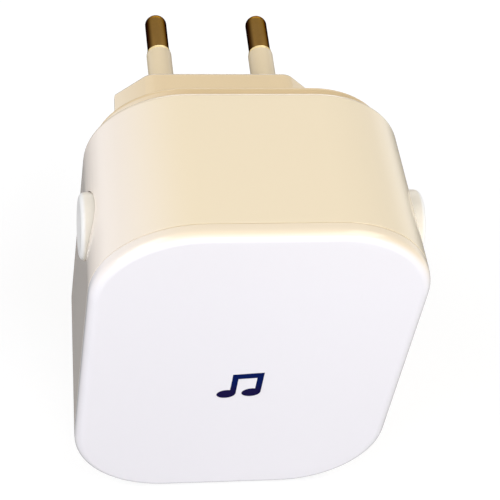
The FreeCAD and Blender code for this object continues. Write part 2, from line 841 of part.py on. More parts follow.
def make_crystal():
    """Can on the upper face of the receiver's board."""
    width, thickness, height = crystal_size
    x, rise = receiver_place
    place = (x, rise + receiver_size[1] / 2 + thickness / 2)
    return back_box(place, width, thickness, height, crystal_lift)


def make_antenna():
    x, z = on_board(antenna_place)
    coil = rod(antenna_diameter / 2, board_rear_depth - antenna_height, board_rear_depth, x, z)
    inner = antenna_diameter / 2 - antenna_wire_diameter
    return coil.cut(rod(inner, board_rear_depth - antenna_height - 1, board_rear_depth + 1, x, z))


def make_gasket():
    seat = speaker_seat_z()
    inner = speaker_diameter / 2 - speaker_rim_width
    outer = speaker_diameter / 2
    top = seat + gasket_thickness
    return turned([(inner, seat), (outer, seat), (outer, top), (inner, top)], 0, speaker_depth)


def basket_top_z():
    return speaker_rim_top() + basket_height


def make_speaker_frame():
    """Rim, sloping basket wall and a top with a hole for the yoke."""
    low = speaker_seat_z() + gasket_thickness
    rim_top = speaker_rim_top()
    top = basket_top_z()
    rim_outer = speaker_diameter / 2
    rim_inner = rim_outer - speaker_rim_width
    base_outer = rim_outer - basket_base_gap
    top_outer = basket_top_diameter / 2
    hole = yoke_diameter / 2 + moulded_clearance
    profile = [
        (rim_inner, low), (rim_outer, low), (rim_outer, rim_top), (base_outer, rim_top),
        (top_outer, top), (hole, top), (hole, top - basket_wall),
        (top_outer - basket_wall, top - basket_wall), (rim_inner, rim_top),
    ]
    return turned(profile, 0, speaker_depth)


def yoke_mouth_z():
    return basket_top_z() - basket_wall - yoke_drop


def yoke_ceiling_z():
    return yoke_mouth_z() + yoke_depth


def make_yoke():
    mouth = yoke_mouth_z()
    ceiling = yoke_ceiling_z()
    top = ceiling + yoke_floor
    outer = yoke_diameter / 2
    inner = outer - yoke_wall
    profile = [(0, ceiling), (inner, ceiling), (inner, mouth), (outer, mouth), (outer, top), (0, top)]
    return turned(profile, 0, speaker_depth)


def make_magnet():
    top = yoke_ceiling_z()
    return upright_rod(magnet_diameter / 2, top - magnet_thickness, top, 0, speaker_depth)


def make_pole_plate():
    top = yoke_ceiling_z() - magnet_thickness
    return upright_rod(pole_plate_diameter / 2, top - pole_plate_thickness, top, 0, speaker_depth)


def diaphragm_edge_z():
    """Height of the cone's outer edge, clear of the gasket's top over the travel."""
    return speaker_seat_z() + gasket_thickness + diaphragm_travel + diaphragm_spare


def diaphragm_base_z():
    """Height where the coil, the dome and the cone meet."""
    return diaphragm_edge_z() + diaphragm_cone_drop


def make_diaphragm():
    """Dome inside the coil and a shallow cone outside it."""
    base = diaphragm_base_z()
    coil = coil_outer_diameter / 2
    edge = diaphragm_diameter / 2
    t = diaphragm_thickness
    sphere_radius = (coil**2 + diaphragm_dome_rise**2) / (2 * diaphragm_dome_rise)
    dome_centre = point(0, speaker_depth, base - t + sphere_radius)
    ring = turned([(coil - t, base - t), (coil, base - t), (edge, base - t - diaphragm_cone_drop),
                   (edge, base - diaphragm_cone_drop), (coil, base), (coil - t, base)], 0, speaker_depth)
    dome_centre.z = base - diaphragm_dome_rise + sphere_radius - t
    shell = Part.makeSphere(sphere_radius, dome_centre).cut(Part.makeSphere(sphere_radius - t, dome_centre))
    column = upright_rod(coil - t, base - 2 * diaphragm_dome_rise, base, 0, speaker_depth)
    return ring.fuse(shell.common(column)).removeSplitter()


def make_voice_coil():
    base = diaphragm_base_z()
    inner = coil_inner_diameter / 2
    outer = coil_outer_diameter / 2
    top = base + coil_height
    return turned([(inner, base), (outer, base), (outer, top), (inner, top)], 0, speaker_depth)


def make_surround():
    inner = diaphragm_diameter / 2 + surround_gap
    outer = speaker_diameter / 2 - speaker_rim_width - surround_gap
    low = diaphragm_edge_z() - diaphragm_thickness
    high = low + surround_thickness
    return turned([(inner, low), (outer, low), (outer, high), (inner, high)], 0, speaker_depth)


def make_clamp():
    """Ring with two lugs, screwed down on the speaker's rim."""
    low = speaker_rim_top()
    top = low + clamp_thickness
    ring = upright_rod(cup_diameter / 2, low, top, 0, speaker_depth)
    for side in sides.values():
        ring = ring.fuse(upright_rod(clamp_lug_diameter / 2, low, top, side * clamp_lug_x, speaker_depth))
    inner = speaker_diameter / 2 - basket_base_gap + speaker_clearance
    ring = ring.cut(upright_rod(inner, low - 1, top + 1, 0, speaker_depth))
    for side in sides.values():
        hole = clamp_screw_diameter / 2 + screw_hole_clearance
        ring = ring.cut(upright_rod(hole, low - 1, top + 1, side * clamp_lug_x, speaker_depth))
    return ring.removeSplitter()


def make_clamp_screw(side):
    seat = speaker_rim_top() + clamp_thickness
    x = side * clamp_lug_x
    head_top = seat + clamp_screw_head_height
    head = upright_rod(clamp_screw_head_diameter / 2, seat, head_top, x, speaker_depth)
    shank = upright_rod(clamp_screw_diameter / 2, seat - clamp_screw_grip, seat, x, speaker_depth)
    return head.fuse(shank).removeSplitter()


def terminal_depth():
    middle = (yoke_diameter / 2 + basket_top_diameter / 2) / 2
    return speaker_depth - middle


def make_terminal():
    width, length, thickness = terminal_size
    corner = FreeCAD.Vector(-width / 2, -terminal_depth() - length / 2, basket_top_z())
    return Part.makeBox(width, length, thickness, corner)


def make_lug(side):
    """Brass ring on the pin's stub with a flat tail."""
    x = side * pin_pitch / 2
    start = neck_end_wall + pin_collar_thickness
    ring = rod(lug_ring_diameter / 2, start, start + lug_thickness, x)
    ring = ring.cut(rod(pin_stub_diameter / 2 + moulded_clearance, start - 1, start + 2, x))
    tail_x = x + side * (pin_stub_diameter / 2 + lug_thickness)
    tail = box(tail_x, start, 0, lug_thickness, lug_length, lug_width)
    return ring.fuse(tail).removeSplitter()


def tube_along(points, diameter, name):
    """Round lead along straight runs joined by tangent arcs."""
    edges = []
    radii = []
    last = points[0]
    for before, corner, after in zip(points, points[1:], points[2:]):
        incoming = (corner - before).normalize()
        outgoing = (after - corner).normalize()
        turn = incoming.getAngle(outgoing)
        setback = 0.45 * min((corner - before).Length, (after - corner).Length)
        radius = setback / math.tan(turn / 2)
        radii.append(round(radius, 2))
        start = corner - incoming * setback
        end = corner + outgoing * setback
        inward = (outgoing - incoming).normalize()
        middle = corner + inward * (radius / math.cos(turn / 2) - radius)
        edges.append(Part.LineSegment(last, start).toShape())
        edges.append(Part.Arc(start, middle, end).toShape())
        last = end
    edges.append(Part.LineSegment(last, points[-1]).toShape())
    path = Part.Wire(edges)
    direction = points[1] - points[0]
    section = Part.Wire([Part.Circle(points[0], direction, diameter / 2).toShape()])
    tube = path.makePipeShell([section], True, False)
    ideal = math.pi * diameter**2 / 4 * path.Length
    print(name, "bend radii", radii, "volume against section times length", round(tube.Volume / ideal, 4))
    return tube


def make_mains_lead(side, name):
    x = side * (pin_pitch / 2 + pin_stub_diameter / 2 + lug_thickness)
    start = neck_end_wall + pin_collar_thickness + lug_length
    board_x = side * mains_lead_board_x
    run = board_rear_depth - start
    first_bend, second_bend = mains_lead_bends
    points = [
        point(x, start, 0),
        point(x, start + first_bend * run, 0),
        point(board_x, start + second_bend * run, mains_lead_board_z),
        point(board_x, board_rear_depth, mains_lead_board_z),
    ]
    return tube_along(points, mains_lead_diameter, name)


def make_speaker_lead(side, name):
    x = side * speaker_lead_x
    start_z = basket_top_z() + terminal_size[2]
    end_x = side * speaker_lead_board_x
    end_z = body_centre_z - speaker_lead_board_drop
    rise = end_z - start_z
    run = board_rear_depth - terminal_depth()
    first_bend, second_bend = speaker_lead_bends
    points = [
        point(x, terminal_depth(), start_z),
        point(x, terminal_depth(), start_z + first_bend * rise),
        point(end_x, terminal_depth() + second_bend * run, end_z),
        point(end_x, board_rear_depth, end_z),
    ]
    return tube_along(points, speaker_lead_diameter, name)


def build():
    nodes = {
        "rear_housing": make_housing(),
        "front_cover": make_cover(),
        "rear_plate": make_plate(),
        "plug_neck": make_neck(),
        "note_light_guide": make_light_guide(),
        "lamp_shroud": make_shroud(),
        "indicator_lamp": make_lamp(),
        "main_board": make_board(),
        "transformer_core": make_transformer_core(),
        "transformer_bobbin": make_transformer_bobbin(),
        "transformer_winding": make_transformer_winding(),
        "bulk_capacitor": make_capacitor(
            bulk_capacitor_place, bulk_capacitor_diameter, bulk_capacitor_length),
        "output_capacitor": make_capacitor(
            output_capacitor_place, output_capacitor_diameter, output_capacitor_length),
        "film_capacitor": make_film_capacitor(),
        "fusible_resistor": make_resistor(),
        "bridge_rectifier": make_rectifier(),
        "melody_chip": make_melody_chip(),
        "receiver_board": make_receiver(),
        "receiver_crystal": make_crystal(),
        "antenna_coil": make_antenna(),
        "speaker_gasket": make_gasket(),
        "speaker_frame": make_speaker_frame(),
        "speaker_yoke": make_yoke(),
        "speaker_magnet": make_magnet(),
        "speaker_pole_plate": make_pole_plate(),
        "speaker_diaphragm": make_diaphragm(),
        "voice_coil": make_voice_coil(),
        "speaker_surround": make_surround(),
        "speaker_clamp": make_clamp(),
        "speaker_terminal": make_terminal(),
    }
    for name, side in sides.items():
        nodes["pin_" + name] = make_pin(side)
        nodes["pin_sleeve_" + name] = make_sleeve(side)
        nodes["pin_lug_" + name] = make_lug(side)
        nodes["mains_lead_" + name] = make_mains_lead(side, "mains_lead_" + name)
        nodes["side_button_" + name] = make_button(side)
        nodes["switch_body_" + name] = make_switch(side)
        nodes["switch_plunger_" + name] = make_plunger(side)
        nodes["clamp_screw_" + name] = make_clamp_screw(side)
        nodes["speaker_lead_" + name] = make_speaker_lead(side, "speaker_lead_" + name)
        nodes["neck_screw_" + name] = make_screw(
            neck_screw_head_diameter, neck_screw_head_height, neck_screw_diameter, neck_screw_grip,
            side * neck_boss_x, 0, housing_floor_depth, False)
    for name, (x, z) in post_places().items():
        nodes["cover_screw_" + name] = make_screw(
            cover_screw_head_diameter, cover_screw_head_height, cover_screw_diameter, cover_screw_grip,
            x, z, plate_face_depth + counterbore_depth, True)
    for name, (x, z) in boss_places().items():
        nodes["board_screw_" + name] = make_screw(
            board_screw_head_diameter, board_screw_head_height, board_screw_diameter, board_screw_grip,
            x, z, board_front_depth, False)
    return nodes


def main():
    os.makedirs("parts", exist_ok=True)
    for name, shape in build().items():
        solids = len(shape.Solids)
        if solids != 1 or not shape.isValid():
            print("look at", name, "solids", solids, "valid", shape.isValid())
        solid = shape.Solids[0] if solids == 1 else shape
        solid.exportStep(os.path.join("parts", name + ".step"))
    print("written", len(os.listdir("parts")), "files")


main()
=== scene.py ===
import bpy
import bmesh
import math
from mathutils import Matrix, Vector


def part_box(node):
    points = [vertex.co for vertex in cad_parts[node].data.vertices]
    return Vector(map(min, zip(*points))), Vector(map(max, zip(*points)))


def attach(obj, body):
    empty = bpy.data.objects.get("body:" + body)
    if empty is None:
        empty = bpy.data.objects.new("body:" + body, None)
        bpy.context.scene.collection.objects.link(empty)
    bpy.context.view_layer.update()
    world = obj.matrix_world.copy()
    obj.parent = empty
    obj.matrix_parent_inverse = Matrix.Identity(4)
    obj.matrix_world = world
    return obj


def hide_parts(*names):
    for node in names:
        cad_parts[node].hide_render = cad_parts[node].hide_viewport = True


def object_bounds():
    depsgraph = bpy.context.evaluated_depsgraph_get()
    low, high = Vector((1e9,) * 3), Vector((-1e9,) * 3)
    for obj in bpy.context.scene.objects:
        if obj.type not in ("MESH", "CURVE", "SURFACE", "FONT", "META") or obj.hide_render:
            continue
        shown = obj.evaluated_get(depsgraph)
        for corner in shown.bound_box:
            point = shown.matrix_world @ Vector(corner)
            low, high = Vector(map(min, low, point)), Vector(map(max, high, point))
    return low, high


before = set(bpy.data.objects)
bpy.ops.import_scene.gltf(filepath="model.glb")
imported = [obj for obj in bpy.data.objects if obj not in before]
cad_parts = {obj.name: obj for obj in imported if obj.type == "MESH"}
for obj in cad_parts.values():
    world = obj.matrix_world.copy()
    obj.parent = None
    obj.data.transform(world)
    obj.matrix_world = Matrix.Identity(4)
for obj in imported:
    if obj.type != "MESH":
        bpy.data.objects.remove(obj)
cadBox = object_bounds()
scene = bpy.context.scene
mm = 0.001
xAxis, yAxis, zAxis = 0, 1, 2

closeEnough = 0.02 * mm     # a point this near to a plane lies on it
longEdge = 0.5 * mm         # an edge that spans more than this along an axis runs along it
spare = 1.0 * mm            # how far a cutter reaches past its cut, and a post into its wall
postBevel = 0.2 * mm
facets = {                  # sides of a round, by its size
    "large": 96,
    "middle": 64,
    "small": 48,
    "post": 40,
    "thin": 32,
    "screw": 24,
}
corners = ("upper_left", "upper_right", "lower_left", "lower_right")
sides = {"left": -1, "right": 1}

# Picking and small steps that every piece uses


def deselectAll():
    if bpy.context.object and bpy.context.object.mode != "OBJECT":
        bpy.ops.object.mode_set(mode="OBJECT")
    bpy.ops.object.select_all(action="DESELECT")


def makeActive(piece):
    deselectAll()
    piece.select_set(True)
    bpy.context.view_layer.objects.active = piece


def pick(piece, kind, test):
    # selects the verts, edges or faces that pass the test and stays in edit mode
    if piece.mode != "EDIT":
        makeActive(piece)
        bpy.ops.object.mode_set(mode="EDIT")
    bpy.ops.mesh.select_mode(type={"verts": "VERT", "edges": "EDGE", "faces": "FACE"}[kind])
    bpy.ops.mesh.select_all(action="DESELECT")
    mesh = bmesh.from_edit_mesh(piece.data)
    for item in getattr(mesh, kind):
        if test(item):
            item.select_set(True)
    bmesh.update_edit_mesh(piece.data)


def doneEditing():
    bpy.ops.object.mode_set(mode="OBJECT")


def onPlane(axis, level):
    # test for a vertex
    return lambda vert: abs(vert.co[axis] - level) < closeEnough


def inPlane(axis, level):
    # test for an edge or a face
    return lambda item: all(abs(vert.co[axis] - level) < closeEnough for vert in item.verts)


def endFace(axis, level):
    # the flat face of an end has far more corners than the strips of the rounds beside it
    return lambda face: inPlane(axis, level)(face) and len(face.verts) > 8


def runsAlong(axis):
    return lambda edge: abs(edge.verts[0].co[axis] - edge.verts[1].co[axis]) > longEdge


def bevelEdges(piece, test, width, segments=2):
    pick(piece, "edges", test)
    bpy.ops.mesh.bevel(offset=width, segments=segments, profile=0.5, affect="EDGES")


def extrudeAlongY(distance):
    bpy.ops.mesh.extrude_region_move(TRANSFORM_OT_translate={"value": (0, distance, 0)})


def bakePlace(piece):
    makeActive(piece)
    bpy.ops.object.transform_apply(location=True, rotation=True, scale=True)


def applyModifiers(piece):
    makeActive(piece)
    for modifier in list(piece.modifiers):
        bpy.ops.object.modifier_apply(modifier=modifier.name)


def combine(piece, other, operation):
    change = piece.modifiers.new("combine", "BOOLEAN")
    change.operation = operation
    change.solver = "EXACT"
    change.object = other
    applyModifiers(piece)
    bpy.data.objects.remove(other)


def cutAway(piece, cutter):
    combine(piece, cutter, "DIFFERENCE")


def weld(piece, other):
    combine(piece, other, "UNION")


def joinAll(pieces):
    deselectAll()
    for piece in pieces:
        piece.select_set(True)
    bpy.context.view_layer.objects.active = pieces[0]
    bpy.ops.object.join()
    return pieces[0]


def block(width, height, nearY, farY, centreX=0.0, centreZ=0.0):
    # cube between two y planes, ready to be shaped
    deselectAll()
    bpy.ops.mesh.primitive_cube_add(size=1, location=(centreX, (nearY + farY) / 2, centreZ))
    piece = bpy.context.object
    piece.scale = (width, abs(nearY - farY), height)
    bakePlace(piece)
    return piece


def roundedBlock(width, height, nearY, farY, radius, segments, centreZ):
    piece = block(width, height, nearY, farY, 0, centreZ)
    bevelEdges(piece, runsAlong(yAxis), radius, segments)
    doneEditing()
    return piece


def roundRod(radius, start, end, size="middle"):
    # cylinder from one point to another
    start = Vector(start)
    end = Vector(end)
    deselectAll()
    length = (end - start).length
    bpy.ops.mesh.primitive_cylinder_add(vertices=facets[size], radius=radius, depth=length)
    piece = bpy.context.object
    piece.rotation_mode = "QUATERNION"
    piece.rotation_quaternion = (end - start).to_track_quat("Z", "Y")
    piece.location = (start + end) / 2
    bakePlace(piece)
    return piece


def smoothed(piece, angle=32):
    makeActive(piece)
    bpy.ops.object.shade_smooth_by_angle(angle=math.radians(angle))
    return piece


def evenNormals(piece):
    # flat faces keep flat shading next to rounds
    even = piece.modifiers.new("evenNormals", "WEIGHTED_NORMAL")
    even.keep_sharp = True
    applyModifiers(piece)


def centreXZ(nodeName):
    low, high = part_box(nodeName)
    return (low.x + high.x) / 2, (low.z + high.z) / 2


def screwPost(centre, radius, endY, rootY, holeRadius, holeEndY):
    # round post with a blind hole from its free end
    x, z = centre
    openY = endY + math.copysign(spare, endY - rootY)
    post = roundRod(radius, (x, endY, z), (x, rootY, z), "post")
    cutAway(post, roundRod(holeRadius, (x, openY, z), (x, holeEndY, z), "screw"))

    def onOuterRim(edge):
        fromAxis = (edge.verts[0].co.xz - Vector(centre)).length
        return inPlane(yAxis, endY)(edge) and fromAxis > (radius + holeRadius) / 2

    bevelEdges(post, onOuterRim, postBevel)
    doneEditing()
    return smoothed(post)


def dress(piece, name, material, body, node):
    piece.name = name
    piece.data.name = name
    piece.data.materials.clear()
    piece.data.materials.append(material)
    for face in piece.data.polygons:
        face.material_index = 0
    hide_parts(node)
    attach(piece, body)
    return piece


# Small steps in a node tree, for the studio and the materials


def feed(tree, value, socket):
    # the value is another node's output or a constant
    if isinstance(value, bpy.types.NodeSocket):
        tree.links.new(value, socket)
    else:
        socket.default_value = value


def calculate(tree, operation, *values):
    node = tree.nodes.new("ShaderNodeMath")
    node.operation = operation
    for value, socket in zip(values, node.inputs):
        feed(tree, value, socket)
    return node.outputs[0]


def mapRange(tree, value, fromRange, toRange=(0.0, 1.0), smooth=False):
    node = tree.nodes.new("ShaderNodeMapRange")
    node.interpolation_type = "SMOOTHSTEP" if smooth else "LINEAR"
    node.inputs["From Min"].default_value, node.inputs["From Max"].default_value = fromRange
    node.inputs["To Min"].default_value, node.inputs["To Max"].default_value = toRange
    tree.links.new(value, node.inputs["Value"])
    return node.outputs["Result"]


def mixColours(tree, amount, first, second, blend="MIX"):
    # the first where the amount is 0, the second where it is 1
    mix = tree.nodes.new("ShaderNodeMix")
    mix.data_type = "RGBA"
    mix.blend_type = blend
    feed(tree, amount, mix.inputs["Factor"])
    feed(tree, first, mix.inputs["A"])
    feed(tree, second, mix.inputs["B"])
    return mix.outputs["Result"]


def mixShaders(tree, amount, first, second):
    mix = tree.nodes.new("ShaderNodeMixShader")
    for value, socket in zip((amount, first, second), mix.inputs):
        tree.links.new(value, socket)
    return mix.outputs[0]


def objectPlace(tree):
    return tree.nodes.new("ShaderNodeTexCoord").outputs["Object"]


def objectAxis(tree, axis):
    split = tree.nodes.new("ShaderNodeSeparateXYZ")
    tree.links.new(objectPlace(tree), split.inputs[0])
    return split.outputs[axis]


def alongAxis(tree, axis, start, end, bothSides=False):
    # 0 before the start and 1 after the end, both in metres from the origin
    reach = objectAxis(tree, axis)
    if bothSides:
        reach = calculate(tree, "ABSOLUTE", reach)
    levels = (0.0, 1.0) if start < end else (1.0, 0.0)
    return mapRange(tree, reach, sorted((start, end)), levels, smooth=True)


def objectNoise(tree, scale, detail, roughness=0.5):
    noise = tree.nodes.new("ShaderNodeTexNoise")
    tree.links.new(objectPlace(tree), noise.inputs["Vector"])
    for label, value in (("Scale", scale), ("Detail", detail), ("Roughness", roughness)):
        feed(tree, value, noise.inputs[label])
    return noise.outputs["Fac"]


# Camera

photoView = {
    "place": (-51.41 * mm, -230.45 * mm, 265.84 * mm),
    "lookAt": (4.45 * mm, -28.9 * mm, -8.5 * mm),
    "rollDegrees": 11.66,
    "lens": 139.64,
    "sensorWidth": 36.0,
    "clipNear": 0.01,
    "clipFar": 20.0,
}


def placeCamera():
    camera = bpy.data.objects.new("photoCamera", bpy.data.cameras.new("photoCamera"))
    scene.collection.objects.link(camera)
    camera.data.sensor_fit = "HORIZONTAL"
    camera.data.sensor_width = photoView["sensorWidth"]
    camera.data.lens = photoView["lens"]
    camera.data.clip_start = photoView["clipNear"]
    camera.data.clip_end = photoView["clipFar"]
    camera.location = photoView["place"]
    aim = (Vector(photoView["lookAt"]) - camera.location).to_track_quat("-Z", "Y").to_matrix()
    roll = Matrix.Rotation(math.radians(photoView["rollDegrees"]), 3, "Z")
    camera.rotation_euler = (aim @ roll).to_euler()
    scene.camera = camera


# Floor, world and lamps

studio = {
    "floorSize": 6.0,
    "floorGap": 0.3 * mm,
    "floorColour": (0.28, 0.28, 0.28, 1),
    "seenLift": ((0.25, 1.2), (0.77, 0.92)),        # metres from the object, glow at each
    "mirroredLift": ((0.06, 0.18), (0.0, 0.92)),    # reflections see no glow beside the object
    "worldLight": 0.30,
    "worldColour": (1.0, 1.0, 1.0, 1),
    "lampAim": (0, -30 * mm, 0),
    "lamps": {              # name: place, width and height, power, colour
        "topLamp": ((0.66, -0.24, 0.95), (1.1, 0.7), 6.0, (1, 1, 1)),
        "frontLamp": ((0.50, -1.28, 0.20), (1.0, 0.8), 13.3, (1, 1, 1)),
        "backLamp": ((0.15, 1.25, 0.16), (1.0, 0.8), 6.0, (1, 1, 1)),
        "leftLamp": ((-0.80, -0.20, 0.82), (0.7, 0.6), 4.5, (0.96, 0.97, 1.0)),
        "leftFillLamp": ((-1.00, -0.55, 0.40), (1.0, 0.7), 5.7, (0.93, 0.95, 1.0)),
    },
}


def paleRays(tree):
    # 1 for camera, glossy and transmission rays
    path = tree.nodes.new("ShaderNodeLightPath").outputs
    direct = calculate(tree, "MAXIMUM", path["Is Camera Ray"], path["Is Glossy Ray"])
    return calculate(tree, "MAXIMUM", direct, path["Is Transmission Ray"])


def liftByDistance(tree, distances, strengths):
    reach = tree.nodes.new("ShaderNodeVectorMath")
    reach.operation = "LENGTH"
    tree.links.new(objectPlace(tree), reach.inputs[0])
    return mapRange(tree, reach.outputs["Value"], distances, strengths, smooth=True)


def floorGlow(tree):
    # strength of the white that camera, glossy and transmission rays see on top of the lit floor
    path = tree.nodes.new("ShaderNodeLightPath").outputs
    seen = calculate(tree, "MULTIPLY", path["Is Camera Ray"], liftByDistance(tree, *studio["seenLift"]))
    bounced = calculate(tree, "MAXIMUM", path["Is Glossy Ray"], path["Is Transmission Ray"])
    return calculate(tree, "MULTIPLY_ADD", bounced, liftByDistance(tree, *studio["mirroredLift"]), seen)


def makeFloor():
    deselectAll()
    floorPlace = (0, 0, cadBox[0].z - studio["floorGap"])
    bpy.ops.mesh.primitive_plane_add(size=studio["floorSize"], location=floorPlace)
    floor = bpy.context.object
    floor.name = "studioFloor"
    material = bpy.data.materials.new("studioFloorPaint")
    material.use_nodes = True
    tree = material.node_tree
    tree.nodes.clear()
    output = tree.nodes.new("ShaderNodeOutputMaterial")
    paint = tree.nodes.new("ShaderNodeBsdfDiffuse")
    paint.inputs["Color"].default_value = studio["floorColour"]
    glow = tree.nodes.new("ShaderNodeEmission")
    tree.links.new(floorGlow(tree), glow.inputs["Strength"])
    both = tree.nodes.new("ShaderNodeAddShader")
    tree.links.new(paint.outputs[0], both.inputs[0])
    tree.links.new(glow.outputs[0], both.inputs[1])
    clear = tree.nodes.new("ShaderNodeBsdfTransparent")
    under = tree.nodes.new("ShaderNodeNewGeometry").outputs["Backfacing"]
    seen = mixShaders(tree, under, both.outputs[0], clear.outputs[0])      # nothing to see from below
    tree.links.new(seen, output.inputs["Surface"])
    floor.data.materials.append(material)


def makeWorld():
    world = bpy.data.worlds.new("studioWorld")
    scene.world = world
    world.use_nodes = True
    tree = world.node_tree
    tree.nodes.clear()
    output = tree.nodes.new("ShaderNodeOutputWorld")
    light = tree.nodes.new("ShaderNodeBackground")
    light.inputs["Color"].default_value = studio["worldColour"]
    light.inputs["Strength"].default_value = studio["worldLight"]
    white = tree.nodes.new("ShaderNodeBackground")
    white.inputs["Color"].default_value = (1, 1, 1, 1)
    white.inputs["Strength"].default_value = 1.0
    seen = mixShaders(tree, paleRays(tree), light.outputs[0], white.outputs[0])
    tree.links.new(seen, output.inputs["Surface"])


def addLamp(name, place, size, power, colour):
    lamp = bpy.data.objects.new(name, bpy.data.lights.new(name, "AREA"))
    scene.collection.objects.link(lamp)
    lamp.data.shape = "RECTANGLE"
    lamp.data.size, lamp.data.size_y = size
    lamp.data.energy = power
    lamp.data.color = colour
    lamp.location = place
    aim = Vector(studio["lampAim"]) - lamp.location
    lamp.rotation_euler = aim.to_track_quat("-Z", "Y").to_euler()


def lightStudio():
    makeFloor()
    makeWorld()
    for name, setting in studio["lamps"].items():
        addLamp(name, *setting)
    scene.view_settings.view_transform = "Standard"


# Node groups that the materials share

colourSocket = "NodeSocketColor"
numberSocket = "NodeSocketFloat"
vectorSocket = "NodeSocketVector"
skinOutputs = [("Colour", colourSocket), ("Roughness", numberSocket), ("Height", numberSocket)]


def newGroup(name, inputs, outputs):
    group = bpy.data.node_groups.new(name, "ShaderNodeTree")
    for label, kind, value in inputs:
        socket = group.interface.new_socket(label, in_out="INPUT", socket_type=kind)
        socket.default_value = value
    for label, kind in outputs:
        group.interface.new_socket(label, in_out="OUTPUT", socket_type=kind)
    start = group.nodes.new("NodeGroupInput")
    end = group.nodes.new("NodeGroupOutput")
    return group, start.outputs, end.inputs


grainLook = {
    "driftScale": 22.0,
    "driftDetail": 3,
    "grainDetail": 4,
    "speckleShade": (0.55, 0.53, 0.50, 1),
    "sheenRange": (-0.05, 0.05),        # added to the roughness
}


def makeMouldedGrain():
    # slow colour drift, fine speckle and the spark-eroded grain of a mould
    group, start, end = newGroup("mouldedGrain", [
        ("Colour", colourSocket, (0.8, 0.8, 0.8, 1)),
        ("Tint", colourSocket, (0.7, 0.7, 0.7, 1)),
        ("Drift", numberSocket, 0.2),
        ("Speckle", numberSocket, 0.03),
        ("Roughness", numberSocket, 0.4),
        ("Grain Scale", numberSocket, 2500.0),
    ], skinOutputs)
    slow = objectNoise(group, grainLook["driftScale"], grainLook["driftDetail"])
    fine = objectNoise(group, start["Grain Scale"], grainLook["grainDetail"])
    driftAmount = calculate(group, "MULTIPLY", slow, start["Drift"])
    drift = mixColours(group, driftAmount, start["Colour"], start["Tint"])
    speckAmount = calculate(group, "MULTIPLY", fine, start["Speckle"])
    speckled = mixColours(group, speckAmount, drift, grainLook["speckleShade"], "MULTIPLY")
    sheen = mapRange(group, slow, (0.0, 1.0), grainLook["sheenRange"])
    feed(group, speckled, end["Colour"])
    feed(group, calculate(group, "ADD", start["Roughness"], sheen), end["Roughness"])
    feed(group, fine, end["Height"])
    return group


rubLook = {         # pointiness is 0.5 where the surface is flat
    "edges": (0.52, 0.62),
    "creases": (0.47, 0.38),
    "patchScale": 260.0,
    "patchDetail": 5,
}


def makeEdgeRub():
    # edges that handling has polished lighter, and the creases darker: grime and painted shade
    group, start, end = newGroup("edgeRub", [
        ("Colour", colourSocket, (0.8, 0.8, 0.8, 1)),
        ("Rubbed", colourSocket, (0.9, 0.9, 0.9, 1)),
        ("Grime", colourSocket, (0.2, 0.18, 0.15, 1)),
        ("Rub", numberSocket, 0.3),
        ("Dirt", numberSocket, 0.3),
    ], [("Colour", colourSocket)])
    pointiness = group.nodes.new("ShaderNodeNewGeometry").outputs["Pointiness"]
    edge = mapRange(group, pointiness, rubLook["edges"])
    crease = mapRange(group, pointiness, rubLook["creases"])
    patchy = objectNoise(group, rubLook["patchScale"], rubLook["patchDetail"])
    rubAmount = calculate(group, "MULTIPLY", edge, start["Rub"])
    rubbed = mixColours(group, rubAmount, start["Colour"], start["Rubbed"])
    patches = calculate(group, "MULTIPLY", crease, patchy)
    dirtAndShadeAmount = calculate(group, "MULTIPLY", patches, start["Dirt"])
    feed(group, mixColours(group, dirtAndShadeAmount, rubbed, start["Grime"]), end["Colour"])
    return group


skinLook = {
    "patchScale": 420.0,
    "patchDetail": 6,
    "patchRoughness": 0.6,
    "patches": (0.38, 0.68),    # noise levels from clean to fully tarnished
    "duller": 0.25,             # tarnish adds up to this to the roughness
    "lineDetail": 2,
}


def makeMetalSkin():
    # tarnish patches, and fine turning or rolling lines across one axis
    group, start, end = newGroup("metalSkin", [
        ("Colour", colourSocket, (0.8, 0.8, 0.8, 1)),
        ("Tarnish", colourSocket, (0.3, 0.3, 0.3, 1)),
        ("Amount", numberSocket, 0.5),
        ("Roughness", numberSocket, 0.3),
        ("Line Scale", numberSocket, 4000.0),
        ("Direction", vectorSocket, (0.0, 1.0, 0.0)),
    ], skinOutputs)
    look = skinLook
    noise = objectNoise(group, look["patchScale"], look["patchDetail"], look["patchRoughness"])
    patches = mapRange(group, noise, look["patches"])
    amount = calculate(group, "MULTIPLY", patches, start["Amount"])
    rough = calculate(group, "MULTIPLY_ADD", amount, look["duller"], start["Roughness"])
    along = group.nodes.new("ShaderNodeVectorMath")
    along.operation = "DOT_PRODUCT"
    feed(group, objectPlace(group), along.inputs[0])
    feed(group, start["Direction"], along.inputs[1])
    lines = group.nodes.new("ShaderNodeTexNoise")
    lines.noise_dimensions = "1D"
    lines.inputs["Detail"].default_value = look["lineDetail"]
    feed(group, along.outputs["Value"], lines.inputs["W"])
    feed(group, start["Line Scale"], lines.inputs["Scale"])
    feed(group, mixColours(group, amount, start["Colour"], start["Tarnish"]), end["Colour"])
    feed(group, rough, end["Roughness"])
    feed(group, lines.outputs["Fac"], end["Height"])
    return group


mouldedGrain = makeMouldedGrain()
edgeRub = makeEdgeRub()
metalSkin = makeMetalSkin()

# Materials


def newMaterial(name):
    material = bpy.data.materials.new(name)
    material.use_nodes = True
    return material, material.node_tree, material.node_tree.nodes["Principled BSDF"]


def useGroup(tree, group, **values):
    node = tree.nodes.new("ShaderNodeGroup")
    node.node_tree = group
    for label, value in values.items():
        feed(tree, value, node.inputs[label.replace("_", " ")])
    return node.outputs


